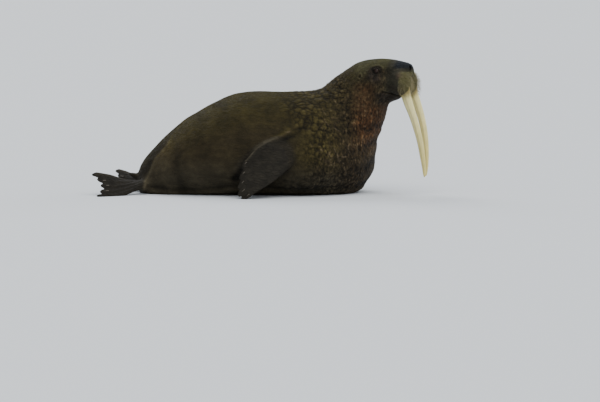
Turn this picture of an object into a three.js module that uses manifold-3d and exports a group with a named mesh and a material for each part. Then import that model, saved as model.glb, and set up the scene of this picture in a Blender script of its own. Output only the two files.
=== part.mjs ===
// A bull walrus resting on its belly with its head raised, as a still, life-size model.
// Millimetres, +Z up, head towards +X, left side towards +Y. The origin is on the floor,
// under the middle of the model's bounding box.
import * as THREE from 'three';
import { mergeVertices } from 'three/addons/utils/BufferGeometryUtils.js';
import Module from 'manifold-3d';

const wasm = await Module();
wasm.setup();

// Driving dimensions
const GAP = 0.3;                 // between two nodes that meet
const FAR = 4000;                // half size of a cutting block
const ORIGIN = { x: -7.57, y: 9.45 }; // where the middle of the bounding box lies in the body's own coordinates

const sides = [
  { name: 'right', y: -1 },
  { name: 'left', y: 1 },
];

// The trunk is an ellipsoid whose radii change along X and which ends in two rounded caps.
// Each station gives half width, centre height, and the radii above and below the centre.
const TRUNK = {
  rear: { from: -200, length: 765 },
  front: { from: 420, length: 540 },
  bluntness: 1.35,               // over 1 makes the caps blunter than an ellipsoid's
  sway: 26,                      // how far the rear curves towards the right side, per metre squared
  stations: [
    { x: -1000, width: 425, centre: 150, above: 400, below: 220 },
    { x: -800, width: 455, centre: 205, above: 416, below: 290 },
    { x: -500, width: 505, centre: 285, above: 440, below: 370 },
    { x: -200, width: 540, centre: 345, above: 497, below: 425 },
    { x: 100, width: 545, centre: 350, above: 506, below: 430 },
    { x: 420, width: 520, centre: 330, above: 500, below: 410 },
    { x: 950, width: 440, centre: 280, above: 430, below: 360 },
  ],
};
const BUTTOCK = { centre: [-690, -25, 195], radii: [400, 300, 285], tilt: 35, blend: 28 };
const NAPE = { centre: [700, -4, 865], radii: [220, 150, 130], tilt: 38, blend: 50 };
const SHOULDER = { centre: [330, 395, 265], radii: [250, 165, 215], blend: 110 };

// The neck is a row of spheres along a bent line, squeezed sideways.
const NECK = {
  start: { centre: [420, 0, 400], radius: 432 },
  middle: { centre: [725, 0, 560], radius: 345 },
  end: { centre: [902, -18, 915], radius: 188 },
  spheres: 22,
  blend: 95,
};

// The head's own frame: forward along its x, with its origin at the back of the skull.
const HEAD = { origin: [860, 0, 950], yaw: -24 };
const SKULL_PARTS = [
  { name: 'cranium', centre: [70, 0, -6], radii: [235, 170, 162], blend: 60 },
  { name: 'forehead', centre: [185, 0, 64], radii: [165, 128, 122], blend: 60 },
  { name: 'snout', centre: [300, 0, 77], radii: [160, 108, 98], blend: 45 },
  { name: 'nose', centre: [398, 0, 112], radii: [46, 58, 40], blend: 22 },
  { name: 'jaw', centre: [228, 0, -104], radii: [138, 92, 72], blend: 45 },
];
const SKULL_PAIRS = [
  { name: 'cheek', centre: [150, 92, -42], radii: [150, 84, 118], blend: 60 },
  { name: 'pad', centre: [352, 72, -6], radii: [108, 88, 108], blend: 45 },
  { name: 'lip', centre: [392, 76, -68], radii: [64, 50, 50], blend: 30 },
  { name: 'orbit', centre: [180, 112, 88], radii: [52, 30, 40], blend: 22 },
];
const EYE = { from: [160, 40, 76], towards: [0.2, 1, 0.16], radius: 20, proud: 7 };
const LID = { radius: 19, thickness: 6.5, length: 1.2, height: 0.92, under: 1 };
const NOSTRIL = { centre: [436, 29, 113], radii: [17, 9, 17], turn: 30 };
const EAR = { from: [48, 40, 40], towards: [0, 1, 0], radii: [7, 16, 11] };
const MOUTH = { corner: [232, -88], lip: [350, -117], end: 560, gap: 3 };

// A tusk's centre line in the head's frame, with its radii along and across the head at each point.
const TUSK = {
  exposed: [
    { centre: [415, 81, -48], along: 41, across: 25 },
    { centre: [420, 80, -108], along: 42, across: 26 },
    { centre: [440, 78, -175], along: 39.5, across: 25.5 },
    { centre: [480, 73, -285], along: 33, across: 24 },
    { centre: [516, 67, -400], along: 29.5, across: 22.5 },
    { centre: [544, 60, -515], along: 26.5, across: 20.5 },
    { centre: [560, 52, -620], along: 23, across: 18 },
    { centre: [570, 44, -710], along: 18, across: 14.5 },
    { centre: [573, 38, -775], along: 12, across: 10 },
    { centre: [572, 35, -801], along: 5, across: 4.5 },
  ],
  leftAhead: [0, 4, 10, 12, 8, 0, -6, -12, -16, -18],   // how far the left tusk's points lie before these
  shorterLeft: 0.965,
  around: 10,
  steps: 13,
};

// Bristles are set on each pad along a spiral, spread between these angles about the pad's middle.
const BRISTLES = {
  count: 28,
  from: [352, 66, -16],
  sideways: [-34, 76],
  upwards: [-40, 36],
  length: [30, 56],
  radius: 1.7,
  sunk: 9,
};

// A flipper follows a bent centre line. Across it runs from its lower edge to its upper edge.
// Lists run evenly from the root to the tips; digits are shares of the length, from the lower edge up.
// Both fore flippers are given as on the right side, and the left one is then mirrored.
const FORE_FLIPPERS = [
  { side: sides[0], start: [350, -420, 440], middle: [125, -640, 392], end: [-225, -668, 64] },
  { side: sides[1], start: [350, -420, 430], middle: [140, -638, 368], end: [-196, -690, 60] },
];
const FORE_FOOT = {
  acrossRoot: [-0.3, 0.16, 0.93],
  acrossTips: [-0.5, 0.42, 0.76],
  halfWidth: [92, 120, 150, 160, 138],
  halfThickness: [74, 50, 31, 17, 8],
  scallop: 0.022,                // how far the web lies behind the digits' tips, as a share of the length
  ridge: 0.16,                   // how much thicker a digit is than the web beside it
  digits: [1.0, 1.0, 0.95, 0.88, 0.8],
  claws: { length: 20, radius: 5, back: 0.93, digits: [0, 1, 2, 3, 4] },
  steps: 7,
};
const HIND_FLIPPERS = [
  {
    side: sides[0], start: [-860, -185, 112], middle: [-1090, -225, 44], end: [-1405, -415, 92],
    digits: [1.0, 0.93, 0.9, 0.92, 0.98],
  },
  {
    side: sides[1], start: [-850, 130, 112], middle: [-1060, 150, 46], end: [-1262, 118, 92],
    digits: [0.98, 0.92, 0.9, 0.93, 1.0],
  },
];
const HIND_FOOT = {
  acrossRoot: [0, 0.97, 0.24],
  acrossTips: [0.06, 0.78, 0.62],
  halfWidth: [70, 62, 92, 132, 146],
  halfThickness: [48, 38, 26, 14, 7],
  scallop: 0.04,
  ridge: 0.2,
  claws: { length: 26, radius: 5, back: 0.9, digits: [1, 2, 3] },
  steps: 7,
};
const FLIPPER_EDGE = 2.6;        // least half thickness
const DIGITS = 5;
const ACROSS_STEPS = 20;
const CORNER = { from: 0.7, share: 0.08 };   // how the corners of a flipper's end are rounded off
const TAIL = { centre: [-1052, -28, 128], radii: [86, 40, 26], droop: 24 };

// Small helpers for fields: a field is negative inside the flesh and roughly a distance in mm.
const degrees = Math.PI / 180;
const mix = (a, b, t) => a + (b - a) * t;
const clamp = (x, low, high) => Math.min(high, Math.max(low, x));
const smoothStep = (a, b, x) => {
  const t = clamp((x - a) / (b - a), 0, 1);
  return t * t * (3 - 2 * t);
};
const smoothMin = (a, b, k) => {
  const h = Math.max(k - Math.abs(a - b), 0) / k;
  return Math.min(a, b) - (h * h * k) / 4;
};

function ellipsoid(x, y, z, c, r) {
  const [px, py, pz] = [(x - c[0]) / r[0], (y - c[1]) / r[1], (z - c[2]) / r[2]];
  const near = Math.hypot(px, py, pz);
  const slope = Math.hypot(px / r[0], py / r[1], pz / r[2]);
  return slope < 1e-9 ? -Math.min(...r) : (near * (near - 1)) / slope;
}

// A value that runs smoothly through the trunk's stations.
function stationValue(x, key) {
  const s = TRUNK.stations;
  if (x <= s[0].x) return s[0][key];
  const last = s.length - 1;
  if (x >= s[last].x) return s[last][key];
  let i = 0;
  while (s[i + 1].x < x) i += 1;
  const slopeAt = (j) => {
    const a = Math.max(j - 1, 0);
    const b = Math.min(j + 1, last);
    return (s[b][key] - s[a][key]) / (s[b].x - s[a].x);
  };
  const span = s[i + 1].x - s[i].x;
  const t = (x - s[i].x) / span;
  const h = 3 * t * t - 2 * t * t * t;
  return s[i][key] * (1 - h) + s[i + 1][key] * h
    + span * (t * (1 - t) * (1 - t) * slopeAt(i) - t * t * (1 - t) * slopeAt(i + 1));
}

const sway = (x) => -TRUNK.sway * Math.min(0, x / 1000) ** 2;

function trunk(x, y, z) {
  const { rear, front } = TRUNK;
  const width = stationValue(x, 'width');
  const rise = z - stationValue(x, 'centre');
  const height = rise > 0 ? stationValue(x, 'above') : stationValue(x, 'below');
  const [past, length] = x < rear.from ? [rear.from - x, rear.length] : [Math.max(0, x - front.from), front.length];
  const share = past / length;
  const [px, py, pz] = [share ** TRUNK.bluntness, (y - sway(x)) / width, rise / height];
  const near = Math.hypot(px, py, pz);
  const steep = (px * TRUNK.bluntness * share ** (TRUNK.bluntness - 1)) / length;
  const slope = Math.hypot(steep, py / width, pz / height);
  return slope < 1e-9 ? -height : (near * (near - 1)) / slope;
}

// An ellipsoid that is tilted about the Y axis
function tilted(x, y, z, { centre, radii, tilt }) {
  const [cx, cy, cz] = centre;
  const [c, s] = [Math.cos(tilt * degrees), Math.sin(tilt * degrees)];
  return ellipsoid((x - cx) * c + (z - cz) * s, y - cy, (z - cz) * c - (x - cx) * s, [0, 0, 0], radii);
}

const bezier = (a, b, c, t) => (1 - t) ** 2 * a + 2 * t * (1 - t) * b + t * t * c;

const neckSpheres = [...Array(NECK.spheres).keys()].map((i) => {
  const t = i / (NECK.spheres - 1);
  const { start, middle, end } = NECK;
  const centre = [0, 1, 2].map((k) => bezier(start.centre[k], middle.centre[k], end.centre[k], t));
  return [...centre, bezier(start.radius, middle.radius, end.radius, t)];
});

function neck(x, y, z) {
  let nearest = Infinity;
  for (const [cx, cy, cz, r] of neckSpheres) {
    nearest = Math.min(nearest, Math.hypot(x - cx, y - cy, z - cz) - r);
  }
  return nearest;
}

const yaw = HEAD.yaw * degrees;
const toHead = (x, y, z) => {
  const [dx, dy] = [x - HEAD.origin[0], y - HEAD.origin[1]];
  return [dx * Math.cos(yaw) + dy * Math.sin(yaw), dy * Math.cos(yaw) - dx * Math.sin(yaw), z - HEAD.origin[2]];
};

function head(x, y, z) {
  const [hx, hy, hz] = toHead(x, y, z);
  let field = Infinity;
  for (const { centre, radii, blend } of SKULL_PARTS) {
    field = smoothMin(field, ellipsoid(hx, hy, hz, centre, radii), blend);
  }
  for (const { centre, radii, blend } of SKULL_PAIRS) {
    for (const side of sides) {
      field = smoothMin(field, ellipsoid(hx, hy * side.y, hz, centre, radii), blend);
    }
  }
  return field;
}

function flesh(x, y, z) {
  let field = trunk(x, y, z);
  field = smoothMin(field, tilted(x, y, z, BUTTOCK), BUTTOCK.blend);
  for (const side of sides) {
    field = smoothMin(field, ellipsoid(x, y * side.y, z, SHOULDER.centre, SHOULDER.radii), SHOULDER.blend);
  }
  field = smoothMin(field, neck(x, y, z), NECK.blend);
  field = smoothMin(field, head(x, y, z), 70);
  return smoothMin(field, tilted(x, y, z, NAPE), NAPE.blend);
}

// A closed triangle mesh of where a field is zero inside a box, by surface nets:
// one vertex for each grid cell that the surface crosses, then moved onto the surface.
function surfaceNet(field, low, high, cell) {
  const size = low.map((l, i) => Math.ceil((high[i] - l) / cell) + 1);
  const [nx, ny, nz] = size;
  const at = (i, j, k) => (i * ny + j) * nz + k;
  const values = new Float32Array(nx * ny * nz);
  const closed = (x, y, z) => {
    const wall = Math.max(low[0] + cell - x, x - high[0] + cell, low[1] + cell - y, y - high[1] + cell,
      low[2] + cell - z, z - high[2] + cell);
    return Math.max(field(x, y, z), wall);
  };
  for (let i = 0; i < nx; i += 1) {
    for (let j = 0; j < ny; j += 1) {
      for (let k = 0; k < nz; k += 1) {
        values[at(i, j, k)] = closed(low[0] + i * cell, low[1] + j * cell, low[2] + k * cell);
      }
    }
  }
  const corners = [...Array(8).keys()].map((c) => [c & 1, (c >> 1) & 1, c >> 2]);
  const edges = [];
  corners.forEach((a, i) => corners.forEach((b, j) => {
    if (j > i && Math.abs(a[0] - b[0]) + Math.abs(a[1] - b[1]) + Math.abs(a[2] - b[2]) === 1) edges.push([i, j]);
  }));
  const vertexOf = new Int32Array(nx * ny * nz).fill(-1);
  const points = [];
  for (let i = 0; i < nx - 1; i += 1) {
    for (let j = 0; j < ny - 1; j += 1) {
      for (let k = 0; k < nz - 1; k += 1) {
        const v = corners.map(([a, b, c]) => values[at(i + a, j + b, k + c)]);
        const inside = v.filter((value) => value < 0).length;
        if (inside === 0 || inside === 8) continue;
        const sum = [0, 0, 0];
        let count = 0;
        for (const [a, b] of edges) {
          if ((v[a] < 0) === (v[b] < 0)) continue;
          const t = v[a] / (v[a] - v[b]);
          for (let axis = 0; axis < 3; axis += 1) sum[axis] += mix(corners[a][axis], corners[b][axis], t);
          count += 1;
        }
        vertexOf[at(i, j, k)] = points.length;
        points.push([i, j, k].map((g, axis) => low[axis] + (g + sum[axis] / count) * cell));
      }
    }
  }
  const step = 1;
  for (let pass = 0; pass < 3; pass += 1) {
    for (const p of points) {
      const f = closed(...p);
      const slope = [0, 1, 2].map((axis) => {
        const [a, b] = [[...p], [...p]];
        a[axis] -= step;
        b[axis] += step;
        return (closed(...b) - closed(...a)) / (2 * step);
      });
      const steep = Math.max(slope[0] ** 2 + slope[1] ** 2 + slope[2] ** 2, 0.2);
      const move = clamp(f / steep, -cell / 3, cell / 3);
      slope.forEach((s, axis) => { p[axis] -= move * s; });
    }
  }
  const faces = [];
  const distance = (a, b) => Math.hypot(...points[a].map((value, axis) => value - points[b][axis]));
  const quad = (a, b, c, d, outward) => {
    const [p, q, r, s] = outward ? [a, b, c, d] : [a, d, c, b];
    if (distance(p, r) < distance(q, s)) faces.push(p, q, r, p, r, s);
    else faces.push(q, r, s, q, s, p);
  };
  for (let i = 1; i < nx - 1; i += 1) {
    for (let j = 1; j < ny - 1; j += 1) {
      for (let k = 1; k < nz - 1; k += 1) {
        const here = values[at(i, j, k)] < 0;
        if (here !== values[at(i + 1, j, k)] < 0) {
          quad(vertexOf[at(i, j - 1, k - 1)], vertexOf[at(i, j, k - 1)], vertexOf[at(i, j, k)],
            vertexOf[at(i, j - 1, k)], here);
        }
        if (here !== values[at(i, j + 1, k)] < 0) {
          quad(vertexOf[at(i - 1, j, k - 1)], vertexOf[at(i - 1, j, k)], vertexOf[at(i, j, k)],
            vertexOf[at(i, j, k - 1)], here);
        }
        if (here !== values[at(i, j, k + 1)] < 0) {
          quad(vertexOf[at(i - 1, j - 1, k)], vertexOf[at(i, j - 1, k)], vertexOf[at(i, j, k)],
            vertexOf[at(i - 1, j, k)], here);
        }
      }
    }
  }
  return new THREE.BufferGeometry()
    .setAttribute('position', new THREE.BufferAttribute(new Float32Array(points.flat()), 3))
    .setIndex(faces);
}

// Solids for joining and cutting
function toSolid(geometry) {
  const bare = geometry.clone();
  for (const name of Object.keys(bare.attributes)) if (name !== 'position') bare.deleteAttribute(name);
  const merged = mergeVertices(bare, 1e-4);
  return new wasm.Manifold(new wasm.Mesh({
    numProp: 3,
    vertProperties: new Float32Array(merged.attributes.position.array),
    triVerts: new Uint32Array(merged.index.array),
  }));
}

function toGeometry(solid) {
  const { numProp, vertProperties, triVerts } = solid.getMesh();
  const points = new Float32Array((vertProperties.length / numProp) * 3);
  for (let i = 0; i < points.length / 3; i += 1) {
    points.set(vertProperties.subarray(i * numProp, i * numProp + 3), i * 3);
  }
  return new THREE.BufferGeometry()
    .setAttribute('position', new THREE.BufferAttribute(points, 3))
    .setIndex(new THREE.BufferAttribute(triVerts, 1));
}

const largest = (solid) => solid.decompose().reduce((a, b) => (a.volume() > b.volume() ? a : b));

// Everything on the side of a plane that its normal points away from.
function behindPlane(point, normal) {
  const n = new THREE.Vector3(...normal).normalize();
  const block = new THREE.BoxGeometry(2 * FAR, 2 * FAR, 2 * FAR).translate(0, 0, -FAR);
  block.applyQuaternion(new THREE.Quaternion().setFromUnitVectors(new THREE.Vector3(0, 0, 1), n));
  return toSolid(block.translate(...point));
}

const shifted = (point, normal, by) => {
  const n = new THREE.Vector3(...normal).normalize();
  return point.map((value, axis) => value + n.getComponent(axis) * by);
};

const headPoint = (x, y, z) => {
  const [ox, oy, oz] = HEAD.origin;
  return [ox + x * Math.cos(yaw) - y * Math.sin(yaw), oy + x * Math.sin(yaw) + y * Math.cos(yaw), oz + z];
};
const headDirection = (x, y, z) => [x * Math.cos(yaw) - y * Math.sin(yaw), x * Math.sin(yaw) + y * Math.cos(yaw), z];

// Closed tubes and slabs

// A skin over rings of points, of which the last may be a single point. The ends are closed flat.
function tube(rings) {
  const points = rings.flat();
  const starts = [];
  let total = 0;
  for (const ring of rings) {
    starts.push(total);
    total += ring.length;
  }
  const n = rings[0].length;
  const faces = [];
  for (let i = 1; i < n - 1; i += 1) faces.push(0, i + 1, i);
  for (let r = 0; r < rings.length - 1; r += 1) {
    const [a, b] = [starts[r], starts[r + 1]];
    for (let i = 0; i < n; i += 1) {
      const j = (i + 1) % n;
      if (rings[r + 1].length === 1) faces.push(a + i, a + j, b);
      else faces.push(a + i, a + j, b + j, a + i, b + j, b + i);
    }
  }
  const last = starts[rings.length - 1];
  if (rings[rings.length - 1].length > 1) {
    for (let i = 1; i < n - 1; i += 1) faces.push(last, last + i, last + i + 1);
  }
  return new THREE.BufferGeometry()
    .setAttribute('position', new THREE.BufferAttribute(new Float32Array(points.flat()), 3))
    .setIndex(faces);
}

// A slab between an upper and a lower grid of points, each grid[i][j] with i along and j across.
function slab(upper, lower) {
  const [rows, columns] = [upper.length, upper[0].length];
  const points = [...upper.flat(), ...lower.flat()];
  const top = (i, j) => i * columns + j;
  const under = (i, j) => rows * columns + i * columns + j;
  const faces = [];
  for (let i = 0; i < rows - 1; i += 1) {
    for (let j = 0; j < columns - 1; j += 1) {
      faces.push(top(i, j), top(i + 1, j + 1), top(i + 1, j), top(i, j), top(i, j + 1), top(i + 1, j + 1));
      faces.push(under(i, j), under(i + 1, j), under(i + 1, j + 1), under(i, j), under(i + 1, j + 1), under(i, j + 1));
    }
  }
  const rim = [];
  for (let j = 0; j < columns - 1; j += 1) rim.push([0, j]);
  for (let i = 0; i < rows - 1; i += 1) rim.push([i, columns - 1]);
  for (let j = columns - 1; j > 0; j -= 1) rim.push([rows - 1, j]);
  for (let i = rows - 1; i > 0; i -= 1) rim.push([i, 0]);
  rim.forEach(([i, j], place) => {
    const [k, l] = rim[(place + 1) % rim.length];
    faces.push(top(i, j), under(k, l), top(k, l), top(i, j), under(i, j), under(k, l));
  });
  return new THREE.BufferGeometry()
    .setAttribute('position', new THREE.BufferAttribute(new Float32Array(points.flat()), 3))
    .setIndex(faces);
}

const vector = (p) => new THREE.Vector3(...p);

// A tapered spike with four sides that leaves its base along a direction and bends down a little.
function spike({ base, direction, length, radius, sag }) {
  const along = vector(direction).normalize();
  const side = new THREE.Vector3(0, 0, 1).cross(along).normalize();
  const up = along.clone().cross(side);
  const at = (share) => vector(base).addScaledVector(along, share * length)
    .add(new THREE.Vector3(0, 0, -sag * share * share));
  const ring = (share, r) => [0, 1, 2, 3].map((i) => {
    const turn = (i * Math.PI) / 2;
    return at(share).addScaledVector(side, r * Math.cos(turn)).addScaledVector(up, r * Math.sin(turn)).toArray();
  });
  return tube([ring(0, radius), ring(0.55, radius * 0.7), [at(1).toArray()]]);
}

// The value of a list that runs evenly from 0 to 1, with round turns between its entries.
function listValue(list, t) {
  const place = clamp(t, 0, 1) * (list.length - 1);
  const i = Math.min(Math.floor(place), list.length - 2);
  const f = place - i;
  const [a, b, c, d] = [list[Math.max(i - 1, 0)], list[i], list[i + 1], list[Math.min(i + 2, list.length - 1)]];
  return b + 0.5 * f * (c - a + f * (2 * a - 5 * b + 4 * c - d + f * (3 * (b - c) + d - a)));
}

// Flippers
function flipperPoint(shape, u, v, face) {
  const digitSpacing = 2 / DIGITS;
  const fromDigit = ((v + 1) / digitSpacing) % 1 - 0.5;
  const web = 0.5 - 0.5 * Math.cos(2 * Math.PI * fromDigit);
  const digitPlace = clamp((v + 1 - digitSpacing / 2) / (2 - digitSpacing), 0, 1);
  const corner = clamp((Math.abs(v) - CORNER.from) / (1 - CORNER.from), 0, 1);
  const reach = listValue(shape.digits, digitPlace) - shape.scallop * web * web * (1 - Math.abs(v) ** 8)
    - CORNER.share * (1 - Math.sqrt(1 - corner * corner));
  const t = u * mix(1, reach, smoothStep(0.1, 0.8, u));
  const centre = [0, 1, 2].map((k) => bezier(shape.start[k], shape.middle[k], shape.end[k], t));
  const ahead = vector([0, 1, 2].map((k) => bezier(shape.start[k], shape.middle[k], shape.end[k], t + 0.01)));
  const along = ahead.sub(vector(centre)).normalize();
  const across = vector(shape.acrossRoot).lerp(vector(shape.acrossTips), smoothStep(0, 1, u));
  across.addScaledVector(along, -across.dot(along)).normalize();
  const outward = across.clone().cross(along);
  const round = Math.sqrt(Math.max(0, 1 - v * v));
  const ridge = 1 - shape.ridge * web * smoothStep(0.3, 0.6, u);
  const thickness = Math.max(FLIPPER_EDGE, listValue(shape.halfThickness, u) * round * ridge);
  return vector(centre).addScaledVector(across, v * listValue(shape.halfWidth, u))
    .addScaledVector(outward, face * thickness).toArray();
}

function flipper(shape) {
  const grid = (face) => [...Array(shape.steps + 1).keys()].map((i) => (
    [...Array(ACROSS_STEPS + 1).keys()].map((j) => (
      flipperPoint(shape, i / shape.steps, (2 * j) / ACROSS_STEPS - 1, face)))));
  let solid = toSolid(slab(grid(1), grid(-1)));
  for (const digit of shape.claws.digits) {
    const v = ((digit + 0.5) * 2) / DIGITS - 1;
    const from = vector(flipperPoint(shape, shape.claws.back, v, 1));
    const to = vector(flipperPoint(shape, 1, v, 1));
    const along = to.clone().sub(from).normalize();
    const middle = vector(flipperPoint(shape, shape.claws.back, v, 0));
    const outward = from.clone().sub(middle).normalize();
    const claw = spike({
      base: from.addScaledVector(outward, -shape.claws.radius * 0.5).addScaledVector(along, -6).toArray(),
      direction: along.addScaledVector(outward, 0.25).toArray(),
      length: shape.claws.length + 6,
      radius: shape.claws.radius,
      sag: 0,
    });
    solid = solid.add(toSolid(claw));
  }
  return solid;
}

// The solid pushed outwards by a small distance, for cutting its neighbours clear of it.
function grown(solid, by) {
  const geometry = toGeometry(solid);
  geometry.computeVertexNormals();
  const { position, normal } = geometry.attributes;
  for (let i = 0; i < position.count; i += 1) {
    position.setXYZ(i, position.getX(i) + by * normal.getX(i), position.getY(i) + by * normal.getY(i),
      position.getZ(i) + by * normal.getZ(i));
  }
  return toSolid(geometry);
}

// Where the flesh is parted: each cut is a plane, named after what lies behind it.
const CUTS = {
  rump: { point: [-640, 0, 0], normal: [1, 0, 0] },
  torso: { point: [560, 0, 560], normal: [0.72, 0, 0.69] },
  neck: { point: headPoint(-25, 0, 0), normal: headDirection(0.78, 0, 0.63) },
};
const before = (cut) => behindPlane(shifted(cut.point, cut.normal, -GAP / 2), cut.normal);
const beyond = (cut) => {
  const back = cut.normal.map((value) => -value);
  return behindPlane(shifted(cut.point, back, -GAP / 2), back);
};
const floor = behindPlane([0, 0, 0], [0, 0, -1]);

// A block in the head's frame with this outline from the side.
function headBlock(outline) {
  const shape = new THREE.Shape(outline.map(([x, z]) => new THREE.Vector2(x, z)));
  const block = new THREE.ExtrudeGeometry(shape, { depth: 600, bevelEnabled: false, steps: 1 });
  block.translate(0, 0, -300).rotateX(Math.PI / 2).rotateZ(yaw).translate(...HEAD.origin);
  return toSolid(block);
}

// The line of the mouth, seen from the side: down from its corner to the lip, and level from there.
function mouthLine(x) {
  const [[cx, cz], [lx, lz]] = [MOUTH.corner, MOUTH.lip];
  return mix(cz, lz, smoothStep(cx, lx, x));
}
const MUZZLE_BACK = 262;
const MOUTH_STEP = 16;
function mouthOutline(from, lift) {
  const line = [];
  for (let x = from; x < MOUTH.lip[0]; x += MOUTH_STEP) line.push([x, mouthLine(x) + lift]);
  return [...line, [MOUTH.lip[0], MOUTH.lip[1] + lift], [MOUTH.end, MOUTH.lip[1] + lift]];
}
const aboveMouth = (back, lift) => headBlock([...mouthOutline(back, lift), [MOUTH.end, 400], [back, 400]]);
const belowMouth = (back, lift) => headBlock([...mouthOutline(back, lift), [MOUTH.end, -400], [back + 16, -400]]);

// The point where a ray in the head's frame leaves the flesh, and the way the skin faces there.
function onSkin(from, towards) {
  const ray = vector(towards).normalize();
  let [inside, outside] = [0, 300];
  for (let i = 0; i < 40; i += 1) {
    const middle = (inside + outside) / 2;
    const p = vector(from).addScaledVector(ray, middle);
    if (flesh(...headPoint(p.x, p.y, p.z)) < 0) inside = middle;
    else outside = middle;
  }
  const point = vector(from).addScaledVector(ray, inside);
  const slope = [0, 1, 2].map((axis) => {
    const [a, b] = [point.toArray(), point.toArray()];
    a[axis] -= 1;
    b[axis] += 1;
    return flesh(...headPoint(...b)) - flesh(...headPoint(...a));
  });
  return { point, facing: vector(slope).normalize() };
}

const inHead = (geometry) => geometry.rotateZ(yaw).translate(...HEAD.origin);
const mirrored = (p, side) => [p[0], p[1] * side.y, p[2]];

// Eyes, with a ring of lid round each
const eyePlaces = sides.map((side) => {
  const { point, facing } = onSkin(mirrored(EYE.from, side), mirrored(EYE.towards, side));
  return { side, facing, centre: point.clone().addScaledVector(facing, EYE.proud - EYE.radius) };
});
const eyeball = ({ centre }, radius) => (
  toSolid(inHead(new THREE.SphereGeometry(radius, 12, 7).translate(...centre.toArray()))));
function lids({ centre, facing }) {
  const ring = new THREE.TorusGeometry(LID.radius, LID.thickness, 6, 16).scale(LID.length, LID.height, 1);
  ring.applyQuaternion(new THREE.Quaternion().setFromUnitVectors(new THREE.Vector3(0, 0, 1), facing));
  const middle = centre.clone().addScaledVector(facing, EYE.radius - EYE.proud - LID.under);
  return toSolid(inHead(ring.translate(...middle.toArray())));
}

// Nostrils and ear openings, as hollows
function hollow(centre, radii, turn) {
  const shape = new THREE.SphereGeometry(1, 10, 7).scale(...radii).rotateZ(turn * degrees);
  return toSolid(inHead(shape.translate(...centre)));
}
const nostrils = sides.map((side) => hollow(mirrored(NOSTRIL.centre, side), NOSTRIL.radii, NOSTRIL.turn * side.y));
const ears = sides.map((side) => {
  const { point } = onSkin(mirrored(EAR.from, side), mirrored(EAR.towards, side));
  return hollow(point.toArray(), EAR.radii, 0);
});

// Tusks
function tusk(side, growth) {
  const rows = TUSK.exposed;
  const shorten = side.name === 'left' ? TUSK.shorterLeft : 1;
  const value = (t, pick) => listValue(rows.map(pick), t);
  const ahead = side.name === 'left' ? TUSK.leftAhead : rows.map(() => 0);
  const centreAt = (t) => [
    value(t, (row) => row.centre[0]) + listValue(ahead, t),
    value(t, (row) => row.centre[1]),
    value(t, (row) => row.centre[2]),
  ];
  const rings = [];
  for (let i = 0; i <= TUSK.steps; i += 1) {
    const t = (i / TUSK.steps) * shorten;
    const taper = shorten === 1 ? 1 : 1 - 0.5 * smoothStep(0.93, 1, i / TUSK.steps);
    const centre = vector(centreAt(t));
    const along = vector(centreAt(t + 0.01)).sub(vector(centreAt(t - 0.01))).normalize();
    const across = new THREE.Vector3(0, 1, 0).addScaledVector(along, -along.y).normalize();
    const forward = across.clone().cross(along);
    const [long, wide] = [value(t, (row) => row.along) * taper, value(t, (row) => row.across) * taper];
    if (i === 0) centre.addScaledVector(along, -growth);
    rings.push([...Array(TUSK.around).keys()].map((k) => {
      const turn = (2 * Math.PI * k) / TUSK.around;
      const p = centre.clone().addScaledVector(forward, (long + growth) * Math.cos(turn))
        .addScaledVector(across, (wide + growth) * Math.sin(turn));
      return headPoint(...mirrored(p.toArray(), side));
    }));
  }
  return toSolid(tube(side.y > 0 ? rings : rings.map((ring) => [...ring].reverse())));
}

// Bristles on the pads, with their roots sunk into the muzzle
function bristles(side) {
  const made = [];
  const goldenTurn = Math.PI * (3 - Math.sqrt(5));
  for (let i = 0; i < BRISTLES.count; i += 1) {
    const spread = Math.sqrt((i + 0.5) / BRISTLES.count);
    const [a, b] = [spread * Math.cos(i * goldenTurn), spread * Math.sin(i * goldenTurn)];
    const sideways = mix(...BRISTLES.sideways, (a + 1) / 2) * degrees;
    const upwards = mix(...BRISTLES.upwards, (b + 1) / 2) * degrees;
    const towards = [Math.cos(sideways) * Math.cos(upwards), Math.sin(sideways) * Math.cos(upwards), Math.sin(upwards)];
    const { point, facing } = onSkin(mirrored(BRISTLES.from, side), mirrored(towards, side));
    const direction = facing.clone().add(new THREE.Vector3(0.25, 0.12 * side.y, -0.3)).normalize();
    const length = mix(...BRISTLES.length, 1 - spread * 0.6 + 0.25 * Math.sin(7.3 * i));
    const base = point.clone().addScaledVector(direction, -BRISTLES.sunk);
    made.push(toSolid(inHead(spike({
      base: base.toArray(),
      direction: direction.toArray(),
      length: length + BRISTLES.sunk,
      radius: BRISTLES.radius,
      sag: length * 0.12,
    }))));
  }
  return made;
}

// Each node of flesh is netted in its own box, well larger than the stretch that is kept
const net = (low, high, cell) => toSolid(surfaceNet(flesh, low, high, cell));
const rumpFlesh = net([-1250, -720, -320], [-420, 720, 900], 60);
const torsoFlesh = net([-880, -800, -380], [1250, 800, 1180], 76);
const neckFlesh = net([120, -720, -160], [1340, 720, 1340], 52);
const headFlesh = net([560, -480, 500], [1440, 380, 1240], 26);
const muzzleFlesh = net([940, -470, 680], [1440, 230, 1240], 20);
const jawFlesh = net([890, -400, 600], [1340, 180, 960], 22);

const only = (solid, ...limits) => largest(limits.reduce((rest, limit) => rest.intersect(limit), solid));
const without = (solid, ...cutters) => largest(cutters.reduce((rest, cutter) => rest.subtract(cutter), solid));
const CLEAR = 0.35;              // gap round what is sunk into a node

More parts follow.
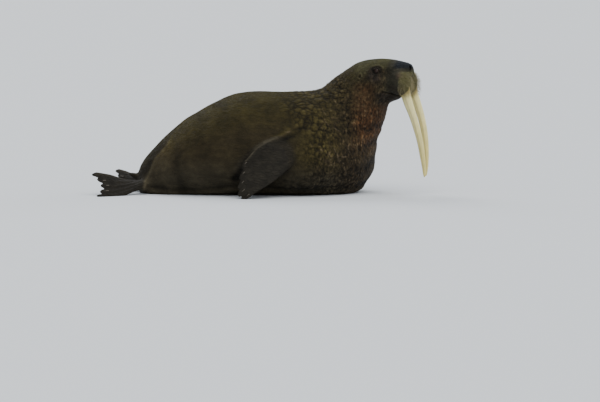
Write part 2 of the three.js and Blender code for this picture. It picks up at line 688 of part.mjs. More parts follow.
const hide = new THREE.MeshStandardMaterial({ color: 0x4a3f2c, roughness: 0.72, metalness: 0 });
const throat = new THREE.MeshStandardMaterial({ color: 0x5a3d2a, roughness: 0.72, metalness: 0 });
const face = new THREE.MeshStandardMaterial({ color: 0x3b332a, roughness: 0.68, metalness: 0 });
const muzzleSkin = new THREE.MeshStandardMaterial({ color: 0x5d5a42, roughness: 0.66, metalness: 0 });
const flipperSkin = new THREE.MeshStandardMaterial({ color: 0x2b2a28, roughness: 0.6, metalness: 0 });
const eyeGloss = new THREE.MeshStandardMaterial({ color: 0x120c0a, roughness: 0.12, metalness: 0 });
const ivory = new THREE.MeshStandardMaterial({ color: 0xc8c08e, roughness: 0.42, metalness: 0 });

const group = new THREE.Group();
function addNode(name, solid, material) {
  const mesh = new THREE.Mesh(toGeometry(solid), material);
  mesh.name = name;
  mesh.position.set(-ORIGIN.x, -ORIGIN.y, 0);
  group.add(mesh);
}

addNode('rump', only(rumpFlesh, floor, before(CUTS.rump)), hide);
addNode('torso', only(torsoFlesh, floor, beyond(CUTS.rump), before(CUTS.torso)), hide);
addNode('neck', only(neckFlesh, floor, beyond(CUTS.torso), before(CUTS.neck)), throat);

const wholeHead = eyePlaces.reduce((rest, place) => rest.add(lids(place)), only(headFlesh, beyond(CUTS.neck)));
addNode('head', without(
  wholeHead,
  ...eyePlaces.map((place) => eyeball(place, EYE.radius + CLEAR)),
  ...ears,
  aboveMouth(MUZZLE_BACK - GAP, -MOUTH.gap),
  belowMouth(MOUTH.corner[0] - GAP, 0),
), face);
const bareMuzzle = without(only(muzzleFlesh, aboveMouth(MUZZLE_BACK, 0)), ...nostrils);
const bristled = sides.flatMap(bristles).reduce((rest, bristle) => rest.add(bristle), bareMuzzle);
const tuskHoles = sides.map((side) => tusk(side, CLEAR));
addNode('muzzle', without(bristled, ...tuskHoles), muzzleSkin);
addNode('lower_jaw', without(only(jawFlesh, belowMouth(MOUTH.corner[0], -MOUTH.gap)), ...tuskHoles), face);

for (const place of eyePlaces) addNode(`eye_${place.side.name}`, eyeball(place, EYE.radius), eyeGloss);
for (const side of sides) addNode(`tusk_${side.name}`, tusk(side, 0), ivory);

for (const place of FORE_FLIPPERS) {
  const solid = flipper({ ...FORE_FOOT, ...place });
  const turned = place.side.y < 0 ? solid : solid.mirror([0, 1, 0]);
  addNode(`fore_flipper_${place.side.name}`, only(turned.subtract(grown(torsoFlesh, CLEAR)), floor), flipperSkin);
}
for (const place of HIND_FLIPPERS) {
  const solid = flipper({ ...HIND_FOOT, ...place }).subtract(grown(rumpFlesh, CLEAR));
  addNode(`hind_flipper_${place.side.name}`, only(solid, floor), flipperSkin);
}
const tailShape = new THREE.SphereGeometry(1, 12, 8).scale(...TAIL.radii).rotateY(-TAIL.droop * degrees);
addNode('tail', without(toSolid(tailShape.translate(...TAIL.centre)), grown(rumpFlesh, CLEAR)), flipperSkin);

export default group;
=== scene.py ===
# A bull walrus resting on its belly with its head raised, dressed over its plain solids: one folded and
# wrinkled skin, short flat fur, bristles, eyes, tusks and claws. Shapes are worked out in millimetres in
# the body's own coordinates, with +X towards the head and +Y towards the left side, and become metres
# in the frame's coordinates when their meshes are made.
import itertools
import math

import bpy
import numpy as np
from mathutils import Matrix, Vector


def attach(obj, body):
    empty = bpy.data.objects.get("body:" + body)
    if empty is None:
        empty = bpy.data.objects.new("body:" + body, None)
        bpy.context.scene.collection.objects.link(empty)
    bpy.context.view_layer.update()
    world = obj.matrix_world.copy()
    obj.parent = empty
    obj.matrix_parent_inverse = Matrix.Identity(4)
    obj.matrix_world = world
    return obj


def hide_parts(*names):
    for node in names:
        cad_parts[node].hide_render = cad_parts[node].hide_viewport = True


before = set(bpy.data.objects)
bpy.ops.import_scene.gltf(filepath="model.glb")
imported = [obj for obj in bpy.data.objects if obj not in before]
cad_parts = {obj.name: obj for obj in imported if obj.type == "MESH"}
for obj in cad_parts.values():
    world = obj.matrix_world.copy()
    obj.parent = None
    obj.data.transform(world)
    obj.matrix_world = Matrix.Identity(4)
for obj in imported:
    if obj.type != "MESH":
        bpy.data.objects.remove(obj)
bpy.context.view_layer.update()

# Driving dimensions, as in the solids
ORIGIN = np.array([-7.57, 9.45, 0.0])   # where the frame's origin lies in the body's own coordinates
COAT_DEPTH = 2.5                       # how far the skin lies inside the solids
SIDES = {"right": -1, "left": 1}       # the sign of Y on each side

TRUNK_STATIONS = np.array([
    # x, half width, centre height, radius above the centre, radius below it
    [-1000, 425, 150, 400, 220],
    [-800, 455, 205, 416, 290],
    [-500, 505, 285, 440, 370],
    [-200, 540, 345, 497, 425],
    [100, 545, 350, 506, 430],
    [420, 520, 330, 500, 410],
    [950, 440, 280, 430, 360],
], float)
TRUNK_REAR = {"start": -200, "length": 765}
TRUNK_FRONT = {"start": 420, "length": 540}
TRUNK_BLUNTNESS = 1.35
TRUNK_SWAY = 26
BUTTOCK = {"centre": (-690, -25, 195), "radii": (400, 300, 285), "tilt": 35, "blend": 28}
NAPE = {"centre": (700, -4, 865), "radii": (220, 150, 130), "tilt": 38, "blend": 50}
SHOULDER = {"centre": (330, 395, 265), "radii": (250, 165, 215), "blend": 110}
NECK_POINTS = np.array([[420, 0, 400], [725, 0, 560], [902, -18, 915]], float)
NECK_RADII = (432, 345, 188)
NECK_SPHERES = 22
NECK_BLEND = 95
HEAD_ORIGIN = np.array([860.0, 0.0, 950.0])
HEAD_YAW = math.radians(-24)
HEAD_BLEND = 70
SKULL_PARTS = [
    # centre, radii, blend
    ((70, 0, -6), (235, 170, 162), 60),
    ((185, 0, 64), (165, 128, 122), 60),
    ((300, 0, 77), (160, 108, 98), 45),
    ((398, 0, 112), (46, 58, 40), 22),
]
SKULL_PAIRS = [
    ((150, 92, -42), (150, 84, 118), 60),
    ((352, 72, -6), (108, 88, 108), 28),
    ((392, 76, -68), (64, 50, 50), 30),
    ((180, 112, 88), (52, 30, 40), 22),
]
JAW = {"centre": (228, 0, -104), "radii": (138, 92, 72), "blend": 14}
EYE = {"start": (160, 40, 76), "towards": (0.2, 1, 0.16), "radius": 20.0, "proud": 7.0}
LID = {"radius": 20.0, "length": 1.22, "height": 0.9, "thickness": 5.6, "upper_more": 1.6, "upper_out": 2.2,
       "gap": 0.6}
MOUTH_CORNER = (232.0, -88.0)
MOUTH_LIP = (350.0, -117.0)
TAIL = {"centre": (-1052, -28, 128), "radii": (86, 40, 26), "lift": 24, "blend": 40, "starts": -900}

TUSK = np.array([
    # forward, outward, up in the head's frame, then the radii along and across the head
    [415, 81, -48, 41, 25],
    [420, 80, -108, 42, 26],
    [440, 78, -175, 39.5, 25.5],
    [480, 73, -285, 33, 24],
    [516, 67, -400, 29.5, 22.5],
    [544, 60, -515, 26.5, 20.5],
    [560, 52, -620, 23, 18],
    [570, 44, -710, 18, 14.5],
    [573, 38, -775, 12, 10],
    [572, 35, -801, 5, 4.5],
])
TUSK_LEFT_AHEAD = (0, 4, 10, 12, 8, 0, -6, -12, -16, -18)   # how far the left tusk lies before those points
TUSK_REACH = {"right": 1.0, "left": 0.965}
NOSTRIL = {"centre": (440, 28, 112), "turn": 32, "radii": (20, 6.5, 19), "bend": 0.018, "blend": 5}
EAR = {"centre": (48.0, 60.0, 40.0), "half_size": (7.0, 14.0)}

FORE_FOOT = {
    "across_root": (-0.3, 0.16, 0.93), "across_tips": (-0.5, 0.42, 0.76),
    "half_width": (92, 120, 150, 160, 138), "half_thickness": (74, 50, 31, 17, 8),
    "digits": (1.0, 1.0, 0.95, 0.88, 0.8), "scallop": 0.022, "ridge": 0.16,
    "claw_length": 20, "claw_radius": 5, "claw_back": 0.93, "claws": (0, 1, 2, 3, 4),
}
HIND_FOOT = {
    "across_root": (0, 0.97, 0.24), "across_tips": (0.06, 0.78, 0.62),
    "half_width": (70, 62, 92, 132, 146), "half_thickness": (48, 38, 26, 14, 7),
    "scallop": 0.04, "ridge": 0.2,
    "claw_length": 26, "claw_radius": 5, "claw_back": 0.9, "claws": (1, 2, 3),
}
FLIPPERS = {
    "fore_flipper_right": {**FORE_FOOT, "bend": ((350, -420, 440), (125, -640, 392), (-225, -668, 64))},
    "fore_flipper_left": {**FORE_FOOT, "bend": ((350, -420, 430), (140, -638, 368), (-196, -690, 60)),
                          "mirrored": True},
    "hind_flipper_right": {**HIND_FOOT, "bend": ((-860, -185, 112), (-1090, -225, 44), (-1405, -415, 92)),
                           "digits": (1.0, 0.93, 0.9, 0.92, 0.98)},
    "hind_flipper_left": {**HIND_FOOT, "bend": ((-850, 130, 112), (-1060, 150, 46), (-1262, 118, 92)),
                          "digits": (0.98, 0.92, 0.9, 0.93, 1.0)},
}
DIGITS = 5
FLIPPER_CORNER = 0.08                  # how much of a flipper's length its rounded outer corners take
FLIPPER_EDGE = 2.6
FLIPPER_REACH = 330                    # no part of a flipper is farther than this from its middle
ROOT_BLEND = 46                        # how softly a flipper grows out of the body
# Places along a flipper, as shares of its length
BLADE_STARTS = 0.22
BARE_SKIN_STARTS = 0.36
ROOT_ENDS = 0.5

# The skin's grid: coarse over the body and fine over the head
COARSE, FINE = 9.0, 3.6
GRID = [
    # low, start of the fine stretch, end of it, high
    (-1240, 985, 1330, 1420),
    (-720, -350, 90, 720),
    (-24, 735, 1160, 1190),
]
BLOCK = 4                              # grid cells in a block that is skipped or filled as one
FAR_AWAY = 1e3                         # the field's value where it isn't worked out
POINTS_AT_ONCE = 400000
FLOOR_GAP = 0.8                        # between the floor and what rests on it

CUBE_CORNERS = list(itertools.product((0, 1), repeat=3))
NEAREST_CELLS = list(itertools.product((-1, 0, 1), repeat=3))
SLANT = np.array([[0.36, 0.48, -0.8], [-0.8, 0.6, 0.0], [0.48, 0.64, 0.6]])   # turns the noise's grid


# Small mathematics
def smooth_step(low, high, x):
    t = np.clip((x - low) / (high - low), 0, 1)
    return t * t * (3 - 2 * t)


def smooth_min(a, b, k):
    h = np.maximum(k - np.abs(a - b), 0) / k
    return np.minimum(a, b) - h * h * k / 4


def smooth_max(a, b, k):
    return -smooth_min(-a, -b, k)


def bump(distance, width):
    """1 at a line and fading on both sides of it."""
    return np.exp(-(distance / width) ** 2)


def bezier(points, t):
    a, b, c = (np.asarray(p, float) for p in points)
    t = np.asarray(t, float)[..., None]
    return (1 - t) ** 2 * a + 2 * t * (1 - t) * b + t * t * c


def unit(v):
    v = np.asarray(v, float)
    return v / np.maximum(np.linalg.norm(v, axis=-1, keepdims=True), 1e-9)


def turned(u, v, angle):
    """Two coordinates as seen from axes that are turned by an angle."""
    c, s = math.cos(angle), math.sin(angle)
    return u * c + v * s, v * c - u * s


def across_to(line, p):
    """A direction or point offset without its part along a line."""
    return p - line * np.sum(p * line, axis=-1, keepdims=True)


def slope_of(field, p):
    return np.stack([(field(p + step) - field(p - step)) / 2 for step in np.eye(3)], 1)


def list_value(values, t):
    """The value of a list that runs evenly from 0 to 1, with round turns between its entries."""
    values = np.asarray(values, float)
    place = np.clip(t, 0, 1) * (len(values) - 1)
    i = np.minimum(place.astype(int), len(values) - 2)
    f = place - i
    a, b, c, d = (values[np.clip(i + k, 0, len(values) - 1)] for k in (-1, 0, 1, 2))
    return b + 0.5 * f * (c - a + f * (2 * a - 5 * b + 4 * c - d + f * (3 * (b - c) + d - a)))


def hashed(i, j, k, seed):
    """A fixed random number from 0 to 1 for each whole-number place."""
    h = (i * 374761393 + j * 668265263 + k * 1442695041 + seed * 974634777) & 0xFFFFFFFF
    h = ((h ^ (h >> 13)) * 1274126177) & 0xFFFFFFFF
    h = ((h ^ (h >> 16)) * 2246822519) & 0xFFFFFFFF
    return ((h ^ (h >> 15)) & 0xFFFFFF) / 0xFFFFFF


def noise(p, size, seed):
    """Smooth noise from -1 to 1 whose lumps are about that size."""
    q = (p @ SLANT) / size
    cell = np.floor(q).astype(np.int64)
    f = q - cell
    f = f * f * (3 - 2 * f)
    total = np.zeros(len(p))
    for corner in CUBE_CORNERS:
        weight = np.where(corner, f, 1 - f)
        total += weight[:, 0] * weight[:, 1] * weight[:, 2] * hashed(*(cell + corner).T, seed)
    return 2 * total - 1


def layered_noise(p, size, seed, layers=3):
    total, weight = np.zeros(len(p)), 0.0
    for layer in range(layers):
        total += noise(p, size / 2 ** layer, seed + layer) / 2 ** layer
        weight += 1 / 2 ** layer
    return total / weight


def noise_vector(p, size, seed):
    return np.stack([noise(p, size, seed + axis) for axis in range(3)], 1)


def plates(p, size, seed):
    """For a skin parted into plates: how far a point is from the crease round its plate, in plate sizes."""
    q = p / size
    cell = np.floor(q).astype(np.int64)
    first, second = np.full(len(p), 9.0), np.full(len(p), 9.0)
    for step in NEAREST_CELLS:
        place = cell + step
        jitter = np.stack([hashed(*place.T, seed + axis) for axis in range(3)], 1)
        away = np.linalg.norm(place + 0.1 + 0.8 * jitter - q, axis=1)
        second = np.minimum(second, np.maximum(first, away))
        first = np.minimum(first, away)
    return second - first


# The flesh: a field in millimetres, negative inside
def ellipsoid(p, centre, radii):
    q = (p - np.asarray(centre, float)) / radii
    near = np.linalg.norm(q, axis=-1)
    slope = np.linalg.norm(q / radii, axis=-1)
    return near * (near - 1) / np.maximum(slope, 1e-9)


def station_values(x):
    """Half width, centre height, and radii above and below, smoothly through the trunk's stations."""
    s = TRUNK_STATIONS
    x = np.clip(x, s[0, 0], s[-1, 0])
    i = np.clip(np.searchsorted(s[:, 0], x, side="right") - 1, 0, len(s) - 2)

    def slope(j):
        a, b = np.maximum(j - 1, 0), np.minimum(j + 1, len(s) - 1)
        return (s[b, 1:] - s[a, 1:]) / (s[b, :1] - s[a, :1])

    span = (s[i + 1, 0] - s[i, 0])[:, None]
    t = (x - s[i, 0])[:, None] / span
    h = 3 * t * t - 2 * t ** 3
    value = (s[i, 1:] * (1 - h) + s[i + 1, 1:] * h
             + span * (t * (1 - t) ** 2 * slope(i) - t * t * (1 - t) * slope(i + 1)))
    return value.T


def sway(x):
    return -TRUNK_SWAY * np.minimum(0, x / 1000) ** 2


def trunk(p):
    x, y, z = p.T
    width, centre, above, below = station_values(x)
    rise = z - centre
    height = np.where(rise > 0, above, below)
    behind = x < TRUNK_REAR["start"]
    past = np.where(behind, TRUNK_REAR["start"] - x, np.maximum(0, x - TRUNK_FRONT["start"]))
    length = np.where(behind, TRUNK_REAR["length"], TRUNK_FRONT["length"])
    share = past / length
    q = np.stack([share ** TRUNK_BLUNTNESS, (y - sway(x)) / width, rise / height])
    near = np.linalg.norm(q, axis=0)
    steep = q[0] * TRUNK_BLUNTNESS * share ** (TRUNK_BLUNTNESS - 1) / length
    slope = np.linalg.norm(np.stack([steep, q[1] / width, q[2] / height]), axis=0)
    return near * (near - 1) / np.maximum(slope, 1e-9)


def tilted_ellipsoid(p, centre, radii, tilt):
    """An ellipsoid whose front end is lifted by some degrees, or its rear end when they are negative."""
    x, y, z = (p - np.asarray(centre, float)).T
    along, upwards = turned(x, z, math.radians(tilt))
    return ellipsoid(np.stack([along, y, upwards], 1), (0, 0, 0), radii)


def neck(p):
    nearest = np.full(len(p), np.inf)
    for t in np.linspace(0, 1, NECK_SPHERES):
        centre = bezier(NECK_POINTS, t)
        a, b, c = NECK_RADII
        radius = (1 - t) ** 2 * a + 2 * t * (1 - t) * b + t * t * c
        nearest = np.minimum(nearest, np.linalg.norm(p - centre, axis=1) - radius)
    return nearest


def to_head(p):
    """Points of the body in the head's own frame."""
    x, y, z = (p - HEAD_ORIGIN).T
    return np.stack([*turned(x, y, HEAD_YAW), z], 1)


def direction_from_head(v):
    x, y, z = np.atleast_2d(np.asarray(v, float)).T
    return np.stack([*turned(x, y, -HEAD_YAW), z], 1)


def from_head(q):
    """Points of the head's frame in the body's coordinates."""
    return direction_from_head(q) + HEAD_ORIGIN


def head(q):
    """The head without its openings, for points in its own frame."""
    mirrored = q * (1, -1, 1)
    field = np.full(len(q), 1e4)
    for centre, radii, blend in SKULL_PARTS:
        field = smooth_min(field, ellipsoid(q, centre, radii), blend)
    for centre, radii, blend in SKULL_PAIRS:
        for side in (q, mirrored):
            field = smooth_min(field, ellipsoid(side, centre, radii), blend)
    return smooth_min(field, ellipsoid(q, JAW["centre"], JAW["radii"]), JAW["blend"])


def flesh(p):
    """The body, neck and head, without what is added to them below."""
    rear = tilted_ellipsoid(p, BUTTOCK["centre"], BUTTOCK["radii"], BUTTOCK["tilt"])
    field = smooth_min(trunk(p), rear, BUTTOCK["blend"])
    for side in SIDES.values():
        shoulder = ellipsoid(p * (1, side, 1), SHOULDER["centre"], SHOULDER["radii"])
        field = smooth_min(field, shoulder, SHOULDER["blend"])
    front = p[:, 0] > 100
    field[front] = smooth_min(field[front], neck(p[front]), NECK_BLEND)
    top = (p[:, 0] > 450) & (p[:, 2] > 500)
    field[top] = smooth_min(field[top], head(to_head(p[top])), HEAD_BLEND)
    top = (p[:, 0] > 350) & (p[:, 2] > 450)
    nape = tilted_ellipsoid(p[top], NAPE["centre"], NAPE["radii"], NAPE["tilt"])
    field[top] = smooth_min(field[top], nape, NAPE["blend"])
    return field


# Flippers: a blade along a bent centre line, thin at its edges, with a ridge for each digit
def flipper_frame(shape, t):
    """The centre line's points, and the directions along it, across the blade and out of its face."""
    centre = bezier(shape["bend"], t)
    along = unit(bezier(shape["bend"], t + 0.01) - centre)
    blend = smooth_step(0, 1, t)[..., None]
    across = (1 - blend) * np.array(shape["across_root"]) + blend * np.array(shape["across_tips"])
    across = unit(across_to(along, across))
    return centre, along, across, np.cross(across, along)


def on_own_side(shape, p):
    """Swaps left and right for a flipper that is given as if on the right side."""
    return p * (1, -1, 1) if shape.get("mirrored") else p


def web_share(v):
    """0 on a digit and 1 on the web midway between two."""
    from_digit = ((v + 1) / (2 / DIGITS)) % 1 - 0.5
    return 0.5 - 0.5 * np.cos(2 * np.pi * from_digit)


def flipper_reach(shape, v):
    """How far the blade's end lies along the centre line, across the blade."""
    step = 2 / DIGITS
    place = np.clip((v + 1 - step / 2) / (2 - step), 0, 1)
    notch = shape["scallop"] * web_share(v) ** 2 * (1 - np.abs(v) ** 8)
    corner = np.clip((np.abs(v) - 0.7) / 0.3, 0, 1)
    return list_value(shape["digits"], place) - notch - FLIPPER_CORNER * (1 - np.sqrt(1 - corner ** 2))


def flipper_thickness(shape, u, v):
    """Half the thickness at the middle of a digit, and less on the webs."""
    ridge = 1 - shape["ridge"] * web_share(v) * smooth_step(0.3, 0.6, u)
    return list_value(shape["half_thickness"], u) * ridge


def flipper_point(shape, u, v, face):
    """A point of the blade: u along it, v from -1 to 1 across it, on one face, 1, or the other, -1."""
    t = u * (1 + (flipper_reach(shape, v) - 1) * smooth_step(0.1, 0.8, u))
    centre, _, _, _ = flipper_frame(shape, t)
    _, _, across, outward = flipper_frame(shape, u)
    edge = np.maximum(0, 1 - v * v) ** 0.5
    end = np.maximum(0, 1 - np.clip((u - 0.93) / 0.07, 0, 1) ** 2) ** 0.5
    thickness = np.maximum(FLIPPER_EDGE * 0.4, flipper_thickness(shape, u, v) * edge * (0.3 + 0.7 * end))
    point = centre + across * (v * list_value(shape["half_width"], u))[..., None]
    point = point + outward * (face * thickness)[..., None]
    return on_own_side(shape, point)


def flipper_root(shape, p):
    """A soft field round the first part of a flipper, to grow it out of the body."""
    p = on_own_side(shape, p)
    best = np.full(len(p), np.inf)
    for t in np.linspace(0, ROOT_ENDS, 9):
        centre, along, across, outward = flipper_frame(shape, np.array([t]))
        d = p - centre[0]
        fade = 1 - 0.5 * smooth_step(0.25, ROOT_ENDS, t)
        radii = (60.0, list_value(shape["half_width"], np.array([t]))[0] * 0.94 * fade,
                 list_value(shape["half_thickness"], np.array([t]))[0] * 0.98 * fade)
        q = np.stack([d @ along[0], d @ across[0], d @ outward[0]], 1)
        best = np.minimum(best, ellipsoid(q, (0, 0, 0), radii))
    return best


# Places on the head, found by going outwards until the flesh ends
def on_skin(start, towards):
    """Where rays from a place in the head leave its flesh, and which way the skin faces there."""
    rays = unit(np.atleast_2d(towards))
    inside, outside = np.zeros(len(rays)), np.full(len(rays), 300.0)
    for _ in range(24):
        middle = (inside + outside) / 2
        within = flesh(from_head(start + rays * middle[:, None])) < 0
        inside, outside = np.where(within, middle, inside), np.where(within, outside, middle)
    points = start + rays * inside[:, None]
    return points, unit(slope_of(lambda q: flesh(from_head(q)), points))


def eye_place(side):
    """Where an eyeball lies in the head's frame, and its directions out of, along and up the head."""
    mirror = (1, side, 1)
    points, facings = on_skin(np.multiply(EYE["start"], mirror), np.multiply(EYE["towards"], mirror))
    facing = facings[0]
    forward = unit(across_to(facing, np.array([1.0, 0, 0])))
    return {
        "centre": points[0] + facing * (EYE["proud"] - EYE["radius"]),
        "facing": facing,
        "forward": forward,
        "up": np.cross(forward, facing) * side,
    }


EYES = {name: eye_place(side) for name, side in SIDES.items()}


def eye_frame(q, eye):
    """Points seen from an eye's centre: forward along the head, up, and out of the socket."""
    return [(q - eye["centre"]) @ eye[way] for way in ("forward", "up", "facing")]


def mouth_height(x):
    """The height of the line of the mouth, seen from the side."""
    (cx, cz), (lx, lz) = MOUTH_CORNER, MOUTH_LIP
    return cz + (lz - cz) * smooth_step(cx, lx, x)


def tusk_rows(side, t):
    """Centre points and radii along one tusk."""
    values = np.stack([list_value(TUSK[:, k], t) for k in range(5)], 1)
    if side == "left":
        values[:, 0] += list_value(TUSK_LEFT_AHEAD, t)
    return values * (1, SIDES[side], 1, 1, 1)


def skin_field(p):
    """All that the skin covers: the flesh, the flippers' roots and the tail, with lids and nostrils."""
    field = flesh(p)
    for shape in FLIPPERS.values():
        points = on_own_side(shape, bezier(shape["bend"], np.linspace(0, ROOT_ENDS, 5)))
        near = (np.abs(p - points.mean(0)) < FLIPPER_REACH).all(1)
        field[near] = smooth_min(field[near], flipper_root(shape, p[near]), ROOT_BLEND)
    near = p[:, 0] < TAIL["starts"]
    tail = tilted_ellipsoid(p[near], TAIL["centre"], TAIL["radii"], -TAIL["lift"])
    field[near] = smooth_min(field[near], tail, TAIL["blend"])
    near = (p[:, 0] > 800) & (p[:, 2] > 700)
    q = to_head(p[near])
    part = field[near]
    for eye in EYES.values():
        part = lids_and_socket(q, eye, part)
    for side in SIDES.values():
        part = smooth_max(part, -nostril(q * (1, side, 1)), NOSTRIL["blend"])
    field[near] = part
    return np.maximum(field, FLOOR_GAP - p[:, 2])


def lids_and_socket(q, eye, field):
    """Adds a ring of lid, thicker above than below, and hollows the socket out."""
    forward, up, out = eye_frame(q, eye)
    upper = np.where(up > 0, 1.0, 0.0)
    rim = np.hypot(forward / LID["length"], up / LID["height"]) - LID["radius"]
    level = EYE["radius"] - EYE["proud"] - 1.0 + LID["upper_out"] * upper
    thickness = LID["thickness"] + LID["upper_more"] * upper
    lid = np.hypot(rim, (out - level) * LID["height"]) - thickness
    socket = np.linalg.norm(q - eye["centre"], axis=1) - EYE["radius"] - LID["gap"]
    return smooth_max(smooth_min(field, lid, 7), -socket, 1.5)


def from_tusk(q):
    """How far points near the mouth lie from the side of the tusk on their side of the head."""
    height = np.clip(q[:, 2], -300, -48)
    x, y, along, across = (np.interp(-height, -TUSK[:, 2], TUSK[:, k]) for k in (0, 1, 3, 4))
    x = x + (q[:, 1] > 0) * np.interp(-height, -TUSK[:, 2], TUSK_LEFT_AHEAD)
    return (np.hypot((q[:, 0] - x) / along, (np.abs(q[:, 1]) - y) / across) - 1) * (along + across) / 2


def nostril(q):
    """A slit curved like a comma, in the upper front of the snout."""
    x, y, z = (q - NOSTRIL["centre"]).T
    forward, outward = turned(x, y, math.radians(NOSTRIL["turn"]))
    outward = outward - NOSTRIL["bend"] * (z - 4) ** 2
    return ellipsoid(np.stack([forward, outward, z], 1), (0, 0, 0), NOSTRIL["radii"])


# A closed mesh of where a field is zero, by surface nets on a grid whose lines are closer over the head
def grid_lines(low, fine_low, fine_high, high):
    lines = np.concatenate([np.arange(low, fine_low, COARSE), np.arange(fine_low, fine_high, FINE),
                            np.arange(fine_high, high + COARSE, COARSE)])
    spare = -(len(lines) - 1) % BLOCK
    return np.concatenate([lines, lines[-1] + COARSE * np.arange(1, spare + 1)])


def spread(blocks):
    return blocks.repeat(BLOCK, 0).repeat(BLOCK, 1).repeat(BLOCK, 2)


def corner_view(array, corner):
    """An array's values at one corner of each cell between its points."""
    return array[tuple(slice(step, step + size - 1) for step, size in zip(corner, array.shape))]


def field_on_grid(field, lines):
    """Field values at the grid's points, exact near the surface and only right in sign elsewhere."""
    shape = [len(axis) for axis in lines]
    sparse = [axis[::BLOCK] for axis in lines]
    points = np.stack(np.meshgrid(*sparse, indexing="ij"), -1).reshape(-1, 3)
    rough = field(points).reshape([len(axis) for axis in sparse])
    corners = [corner_view(rough, corner) for corner in CUBE_CORNERS]
    nearest = np.min(np.abs(corners), axis=0)
    lowest, highest = np.min(corners, axis=0), np.max(corners, axis=0)
    x_span, y_span, z_span = np.meshgrid(*(np.diff(axis) for axis in sparse), indexing="ij")
    diagonal = np.sqrt(x_span ** 2 + y_span ** 2 + z_span ** 2)
    active = (nearest < 0.9 * diagonal) | ((lowest < 0) & (highest > 0))
    values = np.full(shape, FAR_AWAY, np.float32)
    corner_view(values, (0, 0, 0))[spread(highest < 0)] = -FAR_AWAY
    mask = np.zeros(shape, bool)
    cells = spread(active)
    for corner in CUBE_CORNERS:
        view = corner_view(mask, corner)
        view |= cells
    index = np.nonzero(mask)
    points = np.stack([lines[axis][index[axis]] for axis in range(3)], 1)
    parts = np.array_split(points, 1 + len(points) // POINTS_AT_ONCE)
    values[index] = np.concatenate([field(part) for part in parts])
    return values


def without_pinches(values):
    """Fills grid squares that are inside at two opposite corners only, where a net would touch itself."""
    for _ in range(4):
        changed = 0
        for axis in range(3):
            across = [k for k in range(3) if k != axis]
            corners = []
            for steps in ((0, 0), (1, 0), (1, 1), (0, 1)):
                place = [slice(None)] * 3
                for k, step in zip(across, steps):
                    place[k] = slice(step, step - 1 or None)
                corners.append(values[tuple(place)])
            inside = [corner < 0 for corner in corners]
            pinched = (inside[0] == inside[2]) & (inside[1] == inside[3]) & (inside[0] != inside[1])
            for corner in corners:
                outside = pinched & (corner >= 0)
                changed += outside.sum()
                corner[outside] = -0.01
        if not changed:
            break
    return values


def surface_net(field, lines):
    """Vertices and quads of the closed surface where the field is zero."""
    values = without_pinches(field_on_grid(field, lines))
    inside = values < 0
    count = sum(corner_view(inside, corner).astype(np.uint8) for corner in CUBE_CORNERS)
    active = np.nonzero((count > 0) & (count < len(CUBE_CORNERS)))
    number = np.full(count.shape, -1, np.int32)
    number[active] = np.arange(len(active[0]))
    total, hits = np.zeros((len(active[0]), 3)), np.zeros(len(active[0]))
    value = {corner: corner_view(values, corner)[active].astype(float) for corner in CUBE_CORNERS}
    for start, axis in itertools.product(CUBE_CORNERS, range(3)):
        if start[axis]:
            continue
        end = tuple(1 if k == axis else start[k] for k in range(3))
        crossed = (value[start] < 0) != (value[end] < 0)
        t = np.where(crossed, value[start] / np.where(crossed, value[start] - value[end], 1), 0)
        place = np.array(start, float)[None, :].repeat(len(t), 0)
        place[:, axis] = t
        total += place * crossed[:, None]
        hits += crossed
    share = total / hits[:, None]
    vertices = np.stack([
        line[cell] + part * (line[cell + 1] - line[cell]) for line, cell, part in zip(lines, active, share.T)
    ], 1)
    quads = []
    for axis in range(3):
        here = inside[1:-1, 1:-1, 1:-1]
        there = inside[tuple(slice(2, None) if k == axis else slice(1, -1) for k in range(3))]
        place = np.argwhere(here != there) + 1
        facing = inside[tuple(place.T)]
        around = []
        for steps in ((1, 1), (0, 1), (0, 0), (1, 0)):
            cell = place.copy()
            cell[:, (axis + 1) % 3] -= steps[0]
            cell[:, (axis + 2) % 3] -= steps[1]
            around.append(number[tuple(cell.T)])
        quad = np.stack(around, 1)
        quad[~facing] = quad[~facing][:, ::-1]
        quads.append(quad)
    return vertices, np.concatenate(quads)


def drawn_onto(field, p, passes=2, limit=3.0):
    """Moves points onto the field's surface, a little at a time."""
    for _ in range(passes):
        value, slope = field(p), slope_of(field, p)
        steep = np.maximum((slope ** 2).sum(1), 0.2)
        p = p - slope * np.clip(value / steep, -limit, limit)[:, None]
    return p


# The skin's relief: folds, creases, bosses and wrinkles, as millimetres that it stands out.
# Every use of noise has a size in millimetres and a seed of its own.
NECK_STEPS = np.linspace(0, 1, 60)
NECK_LINE = bezier(NECK_POINTS, NECK_STEPS)


def along_neck(p):
    """How far along the neck each point lies: 0 between the shoulders and 1 at the head."""
    away = np.linalg.norm(p[:, None, :] - NECK_LINE[None, ::3, :], axis=2)
    weight = np.exp((away.min(1)[:, None] - away) / 22)
    return (weight * NECK_STEPS[::3]).sum(1) / weight.sum(1)


def head_share(p):
    """0 on the neck and 1 on the head."""
    q = to_head(p)
    return smooth_step(-90, 90, q[:, 0] + 0.35 * q[:, 2]) * smooth_step(-250, -170, q[:, 2])


def line_distance(u, v, points):
    """The distance to a bent line in a plane, and whether a point lies above it."""
    best, above = np.full(len(u), np.inf), np.zeros(len(u))
    for (u1, v1), (u2, v2) in zip(points[:-1], points[1:]):
        du, dv = u2 - u1, v2 - v1
        length = math.hypot(du, dv)
        t = np.clip(((u - u1) * du + (v - v1) * dv) / length ** 2, 0, 1)
        away = np.hypot(u - u1 - t * du, v - v1 - t * dv)
        side = ((v - v1) * du - (u - u1) * dv) / length
        above = np.where(away < best, side, above)
        best = np.minimum(best, away)
    return best, above


